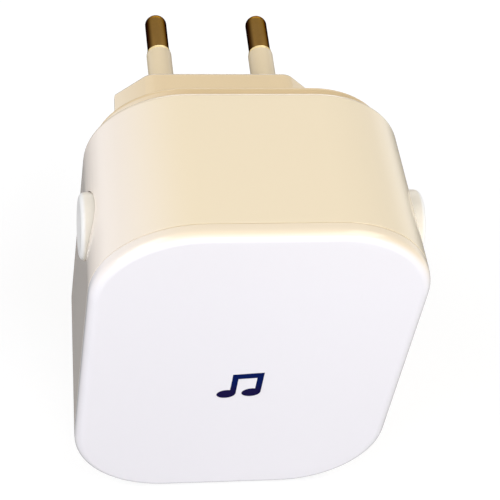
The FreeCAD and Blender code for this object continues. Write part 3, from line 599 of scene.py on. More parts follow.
def finishSurface(tree, shader, colour, skin, strength, depth, height=None):
    # the skin gives the roughness, and the height of the bump unless another is given
    bump = tree.nodes.new("ShaderNodeBump")
    bump.inputs["Strength"].default_value = strength
    bump.inputs["Distance"].default_value = depth
    tree.links.new(skin["Height"] if height is None else height, bump.inputs["Height"])
    tree.links.new(colour, shader.inputs["Base Color"])
    tree.links.new(skin["Roughness"], shader.inputs["Roughness"])
    tree.links.new(bump.outputs["Normal"], shader.inputs["Normal"])


housingFinish = {
    "colour": (0.850, 0.722, 0.508, 1),
    "tint": (0.830, 0.688, 0.474, 1),
    "rubbed": (0.93, 0.86, 0.74, 1),
    "grimeAndShade": (0.40, 0.31, 0.20, 1),
    "paintedSheen": (0.940, 0.840, 0.745, 1),   # painted sheen: the left side paler, where a lamp's sheen falls
    "paintedSheenFrom": -11.5 * mm,
    "paintedSheenTo": -26.5 * mm,
    "rim": (0.690, 0.560, 0.385, 1),    # painted shade: dark line round the rear edge
    "rimFrom": -28.1 * mm,
    "rimTo": -27.5 * mm,
    "roughness": 0.42,
    "gloss": 0.12,
    "coat": 1.0,
    "coatRoughness": 0.12,
}

neckFinish = {
    "colour": (0.780, 0.610, 0.365, 1),
    "tint": (0.745, 0.575, 0.34, 1),
    "rubbed": (0.90, 0.80, 0.63, 1),
    "grimeAndShade": (0.33, 0.24, 0.13, 1),
    # painted sheen: the left side paler, as on the housing
    "paintedSheen": (0.90, 0.790, 0.640, 1),
    "paintedSheenFrom": -9 * mm,
    "paintedSheenTo": -26 * mm,
    "rim": (0.420, 0.350, 0.270, 1),    # painted shade: dark line round the end face
    "rimFrom": -0.55 * mm,
    "rimTo": -0.25 * mm,
    "roughness": 0.42,
    "gloss": 0.12,
    "coat": 1.0,
    "coatRoughness": 0.12,
}

plateFinish = dict(
    neckFinish,
    colour=(0.740, 0.560, 0.320, 1),
    tint=(0.710, 0.530, 0.295, 1),
    # painted shade: a darker band along the plate's foot
    rim=(0.720, 0.540, 0.300, 1),
    rimFrom=-25.4 * mm,
    rimTo=-24.9 * mm,
    coat=0.3,
)

sleeveFinish = {
    "colour": (0.750, 0.612, 0.390, 1),
    "tint": (0.675, 0.535, 0.335, 1),
    "rubbed": (0.86, 0.77, 0.60, 1),
    "grimeAndShade": (0.22, 0.16, 0.09, 1),
    "roughness": 0.42,
    "gloss": 0.4,
    "coat": 0.6,
    "coatRoughness": 0.2,
}

buttonFinish = {
    "colour": (0.870, 0.815, 0.715, 1),
    "tint": (0.85, 0.79, 0.68, 1),
    "rubbed": (0.94, 0.92, 0.88, 1),
    "grimeAndShade": (0.45, 0.38, 0.28, 1),
    "paintedSheen": (0.940, 0.925, 0.900, 1),   # painted highlight: the outer faces of both buttons paler
    "paintedSheenFrom": 27.2 * mm,
    "paintedSheenTo": 27.8 * mm,
    "bothSides": True,
    "roughness": 0.30,
    "gloss": 0.15,
    "coat": 0.0,
    "coatRoughness": 0.1,
}


def ivoryPlastic(name, finish):
    material, tree, shader = newMaterial(name)
    grain = useGroup(tree, mouldedGrain, Colour=finish["colour"], Tint=finish["tint"], Drift=0.5,
                     Speckle=0.03, Roughness=finish["roughness"], Grain_Scale=3200.0)
    grainAndSheen = grain["Colour"]
    # painted sheen: paler across X
    if "paintedSheen" in finish:
        across = alongAxis(tree, "X", finish["paintedSheenFrom"], finish["paintedSheenTo"], "bothSides" in finish)
        grainAndSheen = mixColours(tree, across, grainAndSheen, finish["paintedSheen"])
    # edges lighter with wear; creases darker with grime and painted shade
    rub = useGroup(tree, edgeRub, Colour=grainAndSheen, Rubbed=finish["rubbed"], Grime=finish["grimeAndShade"],
                   Rub=0.12, Dirt=0.35)
    wornAndShaded = rub["Colour"]
    # painted shade: darker across Y
    if "rim" in finish:
        rear = alongAxis(tree, "Y", finish["rimFrom"], finish["rimTo"])
        wornAndShaded = mixColours(tree, rear, wornAndShaded, finish["rim"])
    finishSurface(tree, shader, wornAndShaded, grain, strength=0.12, depth=0.04 * mm)
    shader.inputs["IOR"].default_value = 1.5
    shader.inputs["Specular IOR Level"].default_value = finish["gloss"]
    shader.inputs["Coat Weight"].default_value = finish["coat"]
    shader.inputs["Coat Roughness"].default_value = finish["coatRoughness"]
    return material


coverFinish = {
    "face": (0.910, 0.885, 0.925, 1),
    "faceLeftShade": (0.880, 0.855, 0.895, 1),   # painted shade: a little darker towards the left
    "tint": (0.875, 0.850, 0.890, 1),
    "leftEnd": -22 * mm,
    "rightEnd": 20 * mm,
    # painted warm light from above: the band is ivory along the top, paler on the left with the painted
    # sheen, and white down the sides
    "band": (0.835, 0.705, 0.520, 1),
    "bandLeft": (0.935, 0.855, 0.795, 1),
    "bandSides": (0.930, 0.895, 0.915, 1),  # down the sides the band is white
    "bandHigh": 28 * mm,
    "bandLow": 18 * mm,
    "bandStart": -56.9 * mm,    # ivory up to here, cool white from the next on
    "bandEnd": -58.0 * mm,
    "roughness": 0.17,
    "coat": 0.35,
    "coatRoughness": 0.05,
}


def glossyCover():
    finish = coverFinish
    material, tree, shader = newMaterial("glossyCoverWhite")
    # painted shade: darker towards the left
    leftShade = alongAxis(tree, "X", finish["rightEnd"], finish["leftEnd"])
    face = mixColours(tree, leftShade, finish["face"], finish["faceLeftShade"])
    grain = useGroup(tree, mouldedGrain, Colour=face, Tint=finish["tint"], Drift=0.3, Speckle=0.012,
                     Roughness=finish["roughness"], Grain_Scale=900.0)
    # painted light on the band: warm ivory along the top, paler on the left, white down the sides
    across = alongAxis(tree, "X", housingFinish["paintedSheenFrom"], housingFinish["paintedSheenTo"])
    down = alongAxis(tree, "Z", finish["bandHigh"], finish["bandLow"])
    upperBand = mixColours(tree, across, finish["band"], finish["bandLeft"])
    bandColour = mixColours(tree, down, upperBand, finish["bandSides"])
    band = alongAxis(tree, "Y", finish["bandEnd"], finish["bandStart"])
    colour = mixColours(tree, band, grain["Colour"], bandColour)
    finishSurface(tree, shader, colour, grain, strength=0.03, depth=0.04 * mm)
    shader.inputs["IOR"].default_value = 1.5
    shader.inputs["Coat Weight"].default_value = finish["coat"]
    shader.inputs["Coat Roughness"].default_value = finish["coatRoughness"]
    return material


noteFinish = {
    "stems": (0.003, 0.010, 0.085, 1),
    "heads": (0.010, 0.007, 0.050, 1),
    "tint": (0.03, 0.03, 0.10, 1),
    "headLevel": -9.6 * mm,
    "stemLevel": -6.5 * mm,
    "roughness": 0.22,
}


def noteBlue():
    finish = noteFinish
    material, tree, shader = newMaterial("noteBlue")
    level = alongAxis(tree, "Z", finish["headLevel"], finish["stemLevel"])
    shade = mixColours(tree, level, finish["heads"], finish["stems"])
    grain = useGroup(tree, mouldedGrain, Colour=shade, Tint=finish["tint"], Drift=0.1, Speckle=0.05,
                     Roughness=finish["roughness"], Grain_Scale=1600.0)
    finishSurface(tree, shader, grain["Colour"], grain, strength=0.03, depth=0.03 * mm)
    shader.inputs["Specular IOR Level"].default_value = 0.0
    return material


pinFinish = {
    "brass": (0.222, 0.124, 0.032, 1),
    "tarnish": (0.161, 0.086, 0.022, 1),
    "paintedDark": (0.040, 0.020, 0.008, 1),
    "paintedGlint": (0.85, 0.68, 0.36, 1),
    "reflected": (0.25, 0.18, 0.12, 1),
    "axisX": 9.5 * mm,
    "flanks": (0.95 * mm, 1.75 * mm),       # sideways from the axis, from unshaded to the painted dark
    "tipUnshadedTo": 18.15 * mm,
    "tipDarkFrom": 18.75 * mm,
    "ringEnd": 10.45 * mm,
    "ringFade": 10.60 * mm,
    "roughness": 0.26,
}


def brassPin():
    # painted shade: dark along the sides and round the tip; painted highlight: bright where it meets the
    # sleeve
    finish = pinFinish
    material, tree, shader = newMaterial("pinBrass")
    skin = useGroup(tree, metalSkin, Colour=finish["brass"], Tarnish=finish["tarnish"], Amount=0.5,
                    Roughness=finish["roughness"], Line_Scale=5200.0, Direction=(0, 1, 0))
    # painted shade along the flanks and round the tip
    sideways = calculate(tree, "ABSOLUTE", objectAxis(tree, "X"))
    offAxis = calculate(tree, "ABSOLUTE", calculate(tree, "SUBTRACT", sideways, finish["axisX"]))
    flank = mapRange(tree, offAxis, finish["flanks"], smooth=True)
    tip = alongAxis(tree, "Y", finish["tipUnshadedTo"], finish["tipDarkFrom"])
    shadedSides = mixColours(tree, calculate(tree, "MAXIMUM", flank, tip), skin["Colour"], finish["paintedDark"])
    # painted highlight at the root
    ring = alongAxis(tree, "Y", finish["ringFade"], finish["ringEnd"])
    colour = mixColours(tree, ring, shadedSides, finish["paintedGlint"])
    finishSurface(tree, shader, colour, skin, strength=0.10, depth=0.05 * mm)
    shader.inputs["Metallic"].default_value = 1.0
    shader.inputs["Specular Tint"].default_value = finish["reflected"]
    return material


def plainMetal(name, colour, tarnish, amount, roughness, lineScale, direction, bump):
    material, tree, shader = newMaterial(name)
    skin = useGroup(tree, metalSkin, Colour=colour, Tarnish=tarnish, Amount=amount, Roughness=roughness,
                    Line_Scale=lineScale, Direction=direction)
    rub = useGroup(tree, edgeRub, Colour=skin["Colour"], Rubbed=colour, Grime=tarnish,
                   Rub=0.4, Dirt=0.6)
    finishSurface(tree, shader, rub["Colour"], skin, bump, depth=0.05 * mm)
    shader.inputs["Metallic"].default_value = 1.0
    return material


driftShade = 0.82       # how dark the colour of a plain plastic drifts


def plainPlastic(name, colour, roughness, drift, grainScale, bump):
    # moulded, painted or insulated pieces inside the housing
    material, tree, shader = newMaterial(name)
    darker = tuple(driftShade * c for c in colour[:3]) + (1,)
    grain = useGroup(tree, mouldedGrain, Colour=colour, Tint=darker, Drift=drift, Speckle=0.15,
                     Roughness=roughness, Grain_Scale=grainScale)
    finishSurface(tree, shader, grain["Colour"], grain, bump, depth=0.05 * mm)
    return material


housingPlastic = ivoryPlastic("ivoryHousingPlastic", housingFinish)
neckPlastic = ivoryPlastic("ivoryNeckPlastic", neckFinish)
platePlastic = ivoryPlastic("ivoryPlatePlastic", plateFinish)
sleevePlastic = ivoryPlastic("sleevePlastic", sleeveFinish)
buttonPlastic = ivoryPlastic("buttonPlastic", buttonFinish)
coverPlastic = glossyCover()
notePlastic = noteBlue()
pinBrass = brassPin()
print("materials ready")

# Housing: tapered shell with button bores, guide tubes, speaker cup and floor slots

housingShape = {
    "rearWidth": 52.9 * mm,
    "rearHeight": 71.2 * mm,
    "cornerRadius": 16.2 * mm,
    "cornerSegments": 22,
    "rearRound": 0.9 * mm,
    "seamBevel": 0.25 * mm,
    "wall": 2.0 * mm,
    "boreRadius": 5.65 * mm,
    "guideRadius": 7.25 * mm,
    "guideInner": 22.5 * mm,
    "guideOuter": 24.6 * mm,
    "guideBevel": 0.15 * mm,
    "cupRadius": 11.3 * mm,
    "cupHollow": 10.15 * mm,
    "cupOpening": 8.2 * mm,
    "cupFoot": 1.6 * mm,        # above the underside, so that it grows out of the floor
    "cupRise": 1.0 * mm,        # above the underside of the speaker's frame
    "cupBevel": 0.2 * mm,
    "slotWidth": 1.6 * mm,
    "slotPitch": 3.0 * mm,
    "slotCount": 5,
    "slotReach": 7.8 * mm,
    "slotCut": 8.0 * mm,
    "slotRound": 0.499,         # of the width: just short of half, so that no two corners meet
    "windowWidth": 24.0 * mm,
    "windowHeight": 7.0 * mm,
    "rearCut": 3.0 * mm,
    "screwHole": 1.32 * mm,
    "bossRadius": 2.5 * mm,
    "bossHole": 1.12 * mm,
}

housingLow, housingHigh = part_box("rear_housing")
coverLow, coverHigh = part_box("front_cover")
plateLow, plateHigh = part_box("rear_plate")
neckLow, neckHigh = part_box("plug_neck")
speakerLow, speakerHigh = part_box("speaker_frame")
buttonLow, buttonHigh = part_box("side_button_right")
bodyCentreZ = (housingLow.z + housingHigh.z) / 2
frontWidth = housingHigh.x - housingLow.x
frontHeight = housingHigh.z - housingLow.z
buttonY = (buttonLow.y + buttonHigh.y) / 2
buttonZ = (buttonLow.z + buttonHigh.z) / 2
speakerY = (speakerLow.y + speakerHigh.y) / 2


def housingBlock():
    shape = housingShape
    piece = roundedBlock(shape["rearWidth"], shape["rearHeight"], housingHigh.y, housingLow.y,
                         shape["cornerRadius"], shape["cornerSegments"], bodyCentreZ)
    pick(piece, "verts", onPlane(yAxis, housingLow.y))
    widen = (frontWidth / shape["rearWidth"], 1, frontHeight / shape["rearHeight"])
    bpy.ops.transform.resize(value=widen, center_override=(0, housingLow.y, bodyCentreZ))
    bevelEdges(piece, inPlane(yAxis, housingHigh.y), shape["rearRound"], segments=6)
    bevelEdges(piece, inPlane(yAxis, housingLow.y), shape["seamBevel"])
    pick(piece, "faces", endFace(yAxis, housingLow.y))
    bpy.ops.mesh.delete(type="FACE")
    doneEditing()
    wall = piece.modifiers.new("wall", "SOLIDIFY")
    wall.thickness = shape["wall"]
    wall.offset = -1
    wall.use_even_offset = True
    applyModifiers(piece)
    return piece


def sideRod(side, radius, innerX, outerX, size="middle"):
    # rod on a button's axis, from its inner end outwards
    return roundRod(radius, (side * innerX, buttonY, buttonZ), (side * outerX, buttonY, buttonZ), size)


def cutButtonBores(piece):
    shape = housingShape
    innerEnd = shape["guideInner"] - spare
    for side in sides.values():
        cutAway(piece, sideRod(side, shape["boreRadius"], innerEnd, frontWidth, "large"))


def guideTube(side):
    shape = housingShape
    tube = sideRod(side, shape["guideRadius"], shape["guideInner"], shape["guideOuter"])
    cutAway(tube, sideRod(side, shape["boreRadius"], shape["guideInner"] - spare,
                          shape["guideOuter"] + spare, "large"))
    bevelEdges(tube, inPlane(xAxis, side * shape["guideInner"]), shape["guideBevel"])
    doneEditing()
    return smoothed(tube)


def cutFloorSlots(piece):
    shape = housingShape
    width = shape["slotWidth"]
    middle = (shape["slotCount"] - 1) / 2
    for index in range(shape["slotCount"]):
        offset = (index - middle) * shape["slotPitch"]
        half = math.sqrt(shape["slotReach"]**2 - offset**2)
        y = speakerY + offset
        slot = block(2 * half + width, shape["slotCut"], y - width / 2, y + width / 2, 0, housingLow.z)
        bevelEdges(slot, runsAlong(zAxis), width * shape["slotRound"], segments=8)
        doneEditing()
        cutAway(piece, slot)


def speakerRod(radius, lowZ, highZ):
    return roundRod(radius, (0, speakerY, lowZ), (0, speakerY, highZ), "large")


def speakerCup():
    shape = housingShape
    top = speakerLow.z + shape["cupRise"]
    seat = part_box("speaker_gasket")[0].z
    cup = speakerRod(shape["cupRadius"], housingLow.z + shape["cupFoot"], top)
    cutAway(cup, speakerRod(shape["cupHollow"], seat, top + spare))
    cutAway(cup, speakerRod(shape["cupOpening"], housingLow.z, top + spare))
    bevelEdges(cup, inPlane(zAxis, top), shape["cupBevel"])
    doneEditing()
    return smoothed(cup)


def cutRearHoles(piece):
    # window for the mains leads, holes for the cover's and the neck's screws
    shape = housingShape
    outside = housingHigh.y + spare
    inside = housingHigh.y - shape["rearCut"]
    cutAway(piece, block(shape["windowWidth"], shape["windowHeight"], outside, inside))
    screws = ["cover_screw_" + corner for corner in corners] + ["neck_screw_" + name for name in sides]
    for screw in screws:
        x, z = centreXZ(screw)
        cutAway(piece, roundRod(shape["screwHole"], (x, outside, z), (x, inside, z), "screw"))


def boardBoss(corner):
    shape = housingShape
    screw = "board_screw_" + corner
    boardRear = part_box("main_board")[1].y
    return screwPost(centreXZ(screw), shape["bossRadius"], boardRear, housingHigh.y - spare,
                     shape["bossHole"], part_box(screw)[1].y + spare)


def makeHousing():
    shell = housingBlock()
    cutButtonBores(shell)
    cutFloorSlots(shell)
    smoothed(shell)
    evenNormals(shell)
    cutRearHoles(shell)
    inner = [guideTube(side) for side in sides.values()] + [speakerCup()]
    inner += [boardBoss(corner) for corner in corners]
    housing = joinAll([shell] + inner)
    return dress(housing, "housingShell", housingPlastic, "receiver", "rear_housing")


makeHousing()
print("housing made")

# Front cover with the note window

coverShape = {
    "cornerRadius": 17.0 * mm,
    "cornerSegments": 22,
    "edgeRound": 1.6 * mm,
    "seamBevel": 0.25 * mm,
    "lipInset": 1.85 * mm,
    "lipWall": 1.2 * mm,
    "lipDepth": 1.8 * mm,
    "hollow": 2.5 * mm,
    "postRadius": 2.75 * mm,
    "screwHole": 1.32 * mm,
}

noteShape = {
    "centreX": -0.5 * mm,
    "centreZ": -7.5 * mm,
    "stemSpacing": 4.25 * mm,
    "stemWidth": 1.0 * mm,
    "stemHeight": 6.0 * mm,
    "beamRise": 0.18 * mm,
    "beamThickness": 1.45 * mm,
    "headLength": 3.2 * mm,
    "headWidth": 2.4 * mm,
    "headTilt": 8.0,
    "gap": 0.04 * mm,
    "cut": 4.0 * mm,
    "backing": 0.8 * mm,
    "backingCorner": 1.0 * mm,
}


def notePrism(nearY, farY, grow=0.0):
    # two beamed notes, welded from a beam, two stems and two heads
    shape = noteShape
    stemWidth = shape["stemWidth"]
    beam = shape["beamThickness"]
    middleX = shape["centreX"] + shape["headLength"] / 2
    middleZ = shape["centreZ"] + (shape["stemHeight"] + shape["headWidth"] / 2) / 2
    left = middleX - shape["stemSpacing"] / 2 - stemWidth - grow
    right = middleX + shape["stemSpacing"] / 2 + grow
    note = block(right - left, beam + 2 * grow, nearY, farY, (left + right) / 2, middleZ - beam / 2)
    slope = 2 * shape["beamRise"] / shape["stemSpacing"]
    for x in (left, right):
        pick(note, "verts", onPlane(xAxis, x))
        bpy.ops.transform.translate(value=(0, 0, (x - middleX) * slope))
    doneEditing()
    for side in sides.values():
        stemRight = middleX + side * shape["stemSpacing"] / 2
        beamZ = middleZ + side * shape["beamRise"]
        stemTop = beamZ - beam / 2
        stemFoot = beamZ - shape["stemHeight"]
        weld(note, block(stemWidth + 2 * grow, stemTop - stemFoot, nearY, farY,
                         stemRight - stemWidth / 2, (stemTop + stemFoot) / 2))
        head = roundRod(1.0, (0, nearY, 0), (0, farY, 0), "small")      # scaled to the head's ellipse
        head.scale = (shape["headLength"] / 2 + grow, 1, shape["headWidth"] / 2 + grow)
        head.rotation_mode = "XYZ"
        head.rotation_euler = (0, -math.radians(shape["headTilt"]), 0)
        head.location = (stemRight - shape["headLength"] / 2, 0, stemFoot)
        bakePlace(head)
        weld(note, head)
    return note


def coverPost(corner):
    screw = "cover_screw_" + corner
    return screwPost(centreXZ(screw), coverShape["postRadius"], coverHigh.y, coverLow.y + spare,
                     coverShape["screwHole"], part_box(screw)[0].y - spare)


def makeCover():
    shape = coverShape
    faceY = coverLow.y
    seamY = housingLow.y
    cover = roundedBlock(frontWidth, frontHeight, seamY, faceY, shape["cornerRadius"],
                         shape["cornerSegments"], bodyCentreZ)
    bevelEdges(cover, inPlane(yAxis, faceY), shape["edgeRound"], segments=10)
    bevelEdges(cover, inPlane(yAxis, seamY), shape["seamBevel"])
    pick(cover, "faces", endFace(yAxis, seamY))
    bpy.ops.mesh.inset(thickness=shape["lipInset"])
    extrudeAlongY(shape["lipDepth"])
    bpy.ops.mesh.inset(thickness=shape["lipWall"])
    extrudeAlongY(-shape["hollow"])
    doneEditing()
    cutAway(cover, notePrism(faceY + noteShape["cut"], faceY - spare, noteShape["gap"]))
    smoothed(cover)
    evenNormals(cover)
    cover = joinAll([cover] + [coverPost(corner) for corner in corners])
    return dress(cover, "frontCoverPanel", coverPlastic, "receiver", "front_cover")


def makeNote():
    backLow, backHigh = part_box("note_light_guide")
    backingY = backHigh.y - noteShape["backing"]
    note = notePrism(backingY, coverLow.y)
    pick(note, "faces", lambda face: True)
    bpy.ops.mesh.dissolve_limited(angle_limit=math.radians(1))      # one face for the whole front
    doneEditing()
    backing = block(backHigh.x - backLow.x, backHigh.z - backLow.z, backHigh.y, backingY,
                    *centreXZ("note_light_guide"))
    bevelEdges(backing, runsAlong(yAxis), noteShape["backingCorner"], segments=4)
    doneEditing()
    window = joinAll([smoothed(note), smoothed(backing)])
    evenNormals(window)
    return dress(window, "noteWindow", notePlastic, "receiver", "note_light_guide")


makeCover()
makeNote()
print("cover and note made")

# Raised plate and plug neck

neckShape = {
    "width": 36.8 * mm,
    "chamfer": 5.7 * mm,
    "chamferShare": 0.586,      # 2 less the root of 2: the wall stays even across the chamfer
    "chamferLimit": 0.47,       # of the height, so that the chamfer's two ends stay apart
    "endRound": 0.5 * mm,
    "ridgeRound": 1.1 * mm,
    "ridgeLevel": 3.0 * mm,     # the ridges lie further up or down than this
    "wall": 2.0 * mm,
    "endWall": 3.0 * mm,
    "bossRadius": 2.2 * mm,
    "bossLength": 8.0 * mm,
    "screwHole": 1.12 * mm,
    "pinHole": 1.62 * mm,
    "pinHoleDepth": 4.0 * mm,
    "sleeveHole": 2.32 * mm,
    "smoothAngle": 40,
}

plateShape = {
    "cornerRadius": 14.5 * mm,
    "cornerSegments": 22,
    "edgeRound": 1.0 * mm,
    "seamBevel": 0.3 * mm,
    "windowGap": 0.2 * mm,
    "counterboreRadius": 2.6 * mm,
    "counterboreDepth": 1.9 * mm,
}


def plugRod(radius, x, startY, endY, size="middle"):
    # rod along the plug, at the height of its pins
    return roundRod(radius, (x, startY, 0), (x, endY, 0), size)


def neckBlock(grow=0.0):
    shape = neckShape
    width = shape["width"] + 2 * grow
    height = neckHigh.z - neckLow.z + 2 * grow
    piece = block(width, height, neckHigh.y, neckLow.y)
    chamfer = min(shape["chamfer"] + shape["chamferShare"] * grow, shape["chamferLimit"] * height)
    bevelEdges(piece, runsAlong(yAxis), chamfer, segments=1)
    pick(piece, "verts", onPlane(yAxis, neckLow.y))
    widen = (neckHigh.x - neckLow.x + 2 * grow) / width
    bpy.ops.transform.resize(value=(widen, 1, 1), center_override=(0, neckLow.y, 0))
    doneEditing()
    return piece


def neckHollow():
    hollow = neckBlock(-neckShape["wall"])
    pick(hollow, "verts", onPlane(yAxis, neckHigh.y))
    bpy.ops.transform.translate(value=(0, -neckShape["endWall"], 0))
    pick(hollow, "verts", onPlane(yAxis, neckLow.y))
    bpy.ops.transform.translate(value=(0, -spare, 0))
    doneEditing()
    return hollow


def onRidge(edge):
    return runsAlong(yAxis)(edge) and abs(edge.verts[0].co.z) > neckShape["ridgeLevel"]


def makeNeck():
    shape = neckShape
    neck = neckBlock()
    bevelEdges(neck, onRidge, shape["ridgeRound"], segments=6)
    bevelEdges(neck, inPlane(yAxis, neckHigh.y), shape["endRound"], segments=4)
    doneEditing()
    cutAway(neck, neckHollow())
    bossEnd = neckLow.y + shape["bossLength"]
    pinHoleFloor = neckHigh.y - shape["pinHoleDepth"]
    for name in sides:
        low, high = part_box("neck_screw_" + name)
        x = (low.x + high.x) / 2
        weld(neck, plugRod(shape["bossRadius"], x, bossEnd, neckLow.y, "thin"))
        cutAway(neck, plugRod(shape["screwHole"], x, neckLow.y - spare, high.y + spare, "screw"))
        low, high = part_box("pin_sleeve_" + name)
        x = (low.x + high.x) / 2
        cutAway(neck, plugRod(shape["sleeveHole"], x, low.y, neckHigh.y + spare))
        cutAway(neck, plugRod(shape["pinHole"], x, pinHoleFloor, neckHigh.y, "small"))
    smoothed(neck, shape["smoothAngle"])
    evenNormals(neck)
    return dress(neck, "plugNeck", neckPlastic, "receiver", "plug_neck")


def makePlate():
    shape = plateShape
    plate = roundedBlock(plateHigh.x - plateLow.x, plateHigh.z - plateLow.z, plateHigh.y, plateLow.y,
                         shape["cornerRadius"], shape["cornerSegments"], bodyCentreZ)
    bevelEdges(plate, inPlane(yAxis, plateHigh.y), shape["edgeRound"], segments=6)
    bevelEdges(plate, inPlane(yAxis, plateLow.y), shape["seamBevel"])
    doneEditing()
    cutAway(plate, neckBlock(shape["windowGap"]))
    wellFloor = plateHigh.y - shape["counterboreDepth"]
    wellTop = plateHigh.y + spare
    for corner in corners:
        x, z = centreXZ("cover_screw_" + corner)
        cutAway(plate, roundRod(shape["counterboreRadius"], (x, wellFloor, z), (x, wellTop, z), "small"))
    smoothed(plate)
    evenNormals(plate)
    return dress(plate, "backPlate", platePlastic, "receiver", "rear_plate")


makeNeck()
makePlate()
print("neck and plate made")

# Plug pins and sleeves

pinShape = {
    "bareRadius": 2.0 * mm,
    "coreRadius": 1.6 * mm,
    "tipRound": 1.7 * mm,
    "rootBevel": 0.12 * mm,
    "collarRadius": 2.16 * mm,
    "collarLength": 0.55 * mm,
    "collarSink": 0.2 * mm,
    "collarRound": 0.25 * mm,
}

sleeveShape = {
    "radius": 2.3 * mm,
    "endRound": 0.35 * mm,
    "lip": 0.3 * mm,
    "grooveDepth": 0.25 * mm,
}


def makePin(name):
    shape = pinShape
    low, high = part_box("pin_" + name)
    pinX = (low.x + high.x) / 2
    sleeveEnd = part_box("pin_sleeve_" + name)[1].y
    collarEnd = sleeveEnd + shape["collarLength"]
    pin = plugRod(shape["bareRadius"], pinX, sleeveEnd, high.y)
    bevelEdges(pin, inPlane(yAxis, high.y), shape["tipRound"], segments=12)
    bevelEdges(pin, inPlane(yAxis, sleeveEnd), shape["rootBevel"])
    pick(pin, "faces", endFace(yAxis, sleeveEnd))
    bpy.ops.mesh.inset(thickness=shape["bareRadius"] - shape["coreRadius"] - shape["rootBevel"])
    extrudeAlongY(low.y - sleeveEnd)
    doneEditing()
    collar = plugRod(shape["collarRadius"], pinX, sleeveEnd - shape["collarSink"], collarEnd)
    bevelEdges(collar, inPlane(yAxis, collarEnd), shape["collarRound"], segments=4)
    doneEditing()
    pin = joinAll([smoothed(pin), smoothed(collar)])
    return dress(pin, "plugPin" + name.title(), pinBrass, "receiver", "pin_" + name)


def makeSleeve(name):
    shape = sleeveShape
    low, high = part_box("pin_sleeve_" + name)
    sleeve = plugRod(shape["radius"], (low.x + high.x) / 2, low.y, high.y)
    bevelEdges(sleeve, inPlane(yAxis, high.y), shape["endRound"], segments=5)
    pick(sleeve, "faces", endFace(yAxis, high.y))
    bpy.ops.mesh.inset(thickness=shape["lip"])
    extrudeAlongY(-shape["grooveDepth"])
    doneEditing()
    return dress(smoothed(sleeve), "pinSleeve" + name.title(), sleevePlastic, "receiver",
                 "pin_sleeve_" + name)


for name in sides:
    makePin(name)
    makeSleeve(name)
print("pins made")

# Side buttons

buttonShape = {
    "radius": 5.5 * mm,
    "edgeRound": 0.95 * mm,
    "dishSteps": (1.0 * mm, 1.0 * mm, 1.0 * mm, 0.9 * mm),
    "dishDrops": (0.10 * mm, 0.09 * mm, 0.07 * mm, 0.04 * mm),
    "flangeRadius": 6.5 * mm,
    "flangeThickness": 0.8 * mm,
    "flangeBevel": 0.15 * mm,
    "flangeGap": 0.05 * mm,     # to the end of the guide tube
    "stemRadius": 1.3 * mm,
    "stemBevel": 0.2 * mm,
}


def makeButton(side, name):
    shape = buttonShape
    low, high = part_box("side_button_" + name)
    inner, outer = sorted((abs(low.x), abs(high.x)))
    flange = housingShape["guideInner"] - shape["flangeGap"]
    body = sideRod(side, shape["radius"], flange, outer, "large")
    bevelEdges(body, inPlane(xAxis, side * outer), shape["edgeRound"], segments=6)
    pick(body, "faces", endFace(xAxis, side * outer))
    for width, drop in zip(shape["dishSteps"], shape["dishDrops"]):
        bpy.ops.mesh.inset(thickness=width)
        bpy.ops.transform.translate(value=(-side * drop, 0, 0))
    doneEditing()
    disc = sideRod(side, shape["flangeRadius"], flange - shape["flangeThickness"], flange)
    bevelEdges(disc, lambda edge: not runsAlong(xAxis)(edge), shape["flangeBevel"])
    doneEditing()
    stem = sideRod(side, shape["stemRadius"], inner, flange, "thin")
    bevelEdges(stem, inPlane(xAxis, side * inner), shape["stemBevel"])
    doneEditing()
    button = joinAll([smoothed(body), smoothed(disc), smoothed(stem)])
    return dress(button, "sideButton" + name.title(), buttonPlastic, "button_" + name,
                 "side_button_" + name)


for name, side in sides.items():
    makeButton(side, name)
print("buttons made")

# Pieces inside keep their solids and get their finishes here

screws = [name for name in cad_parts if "screw" in name]

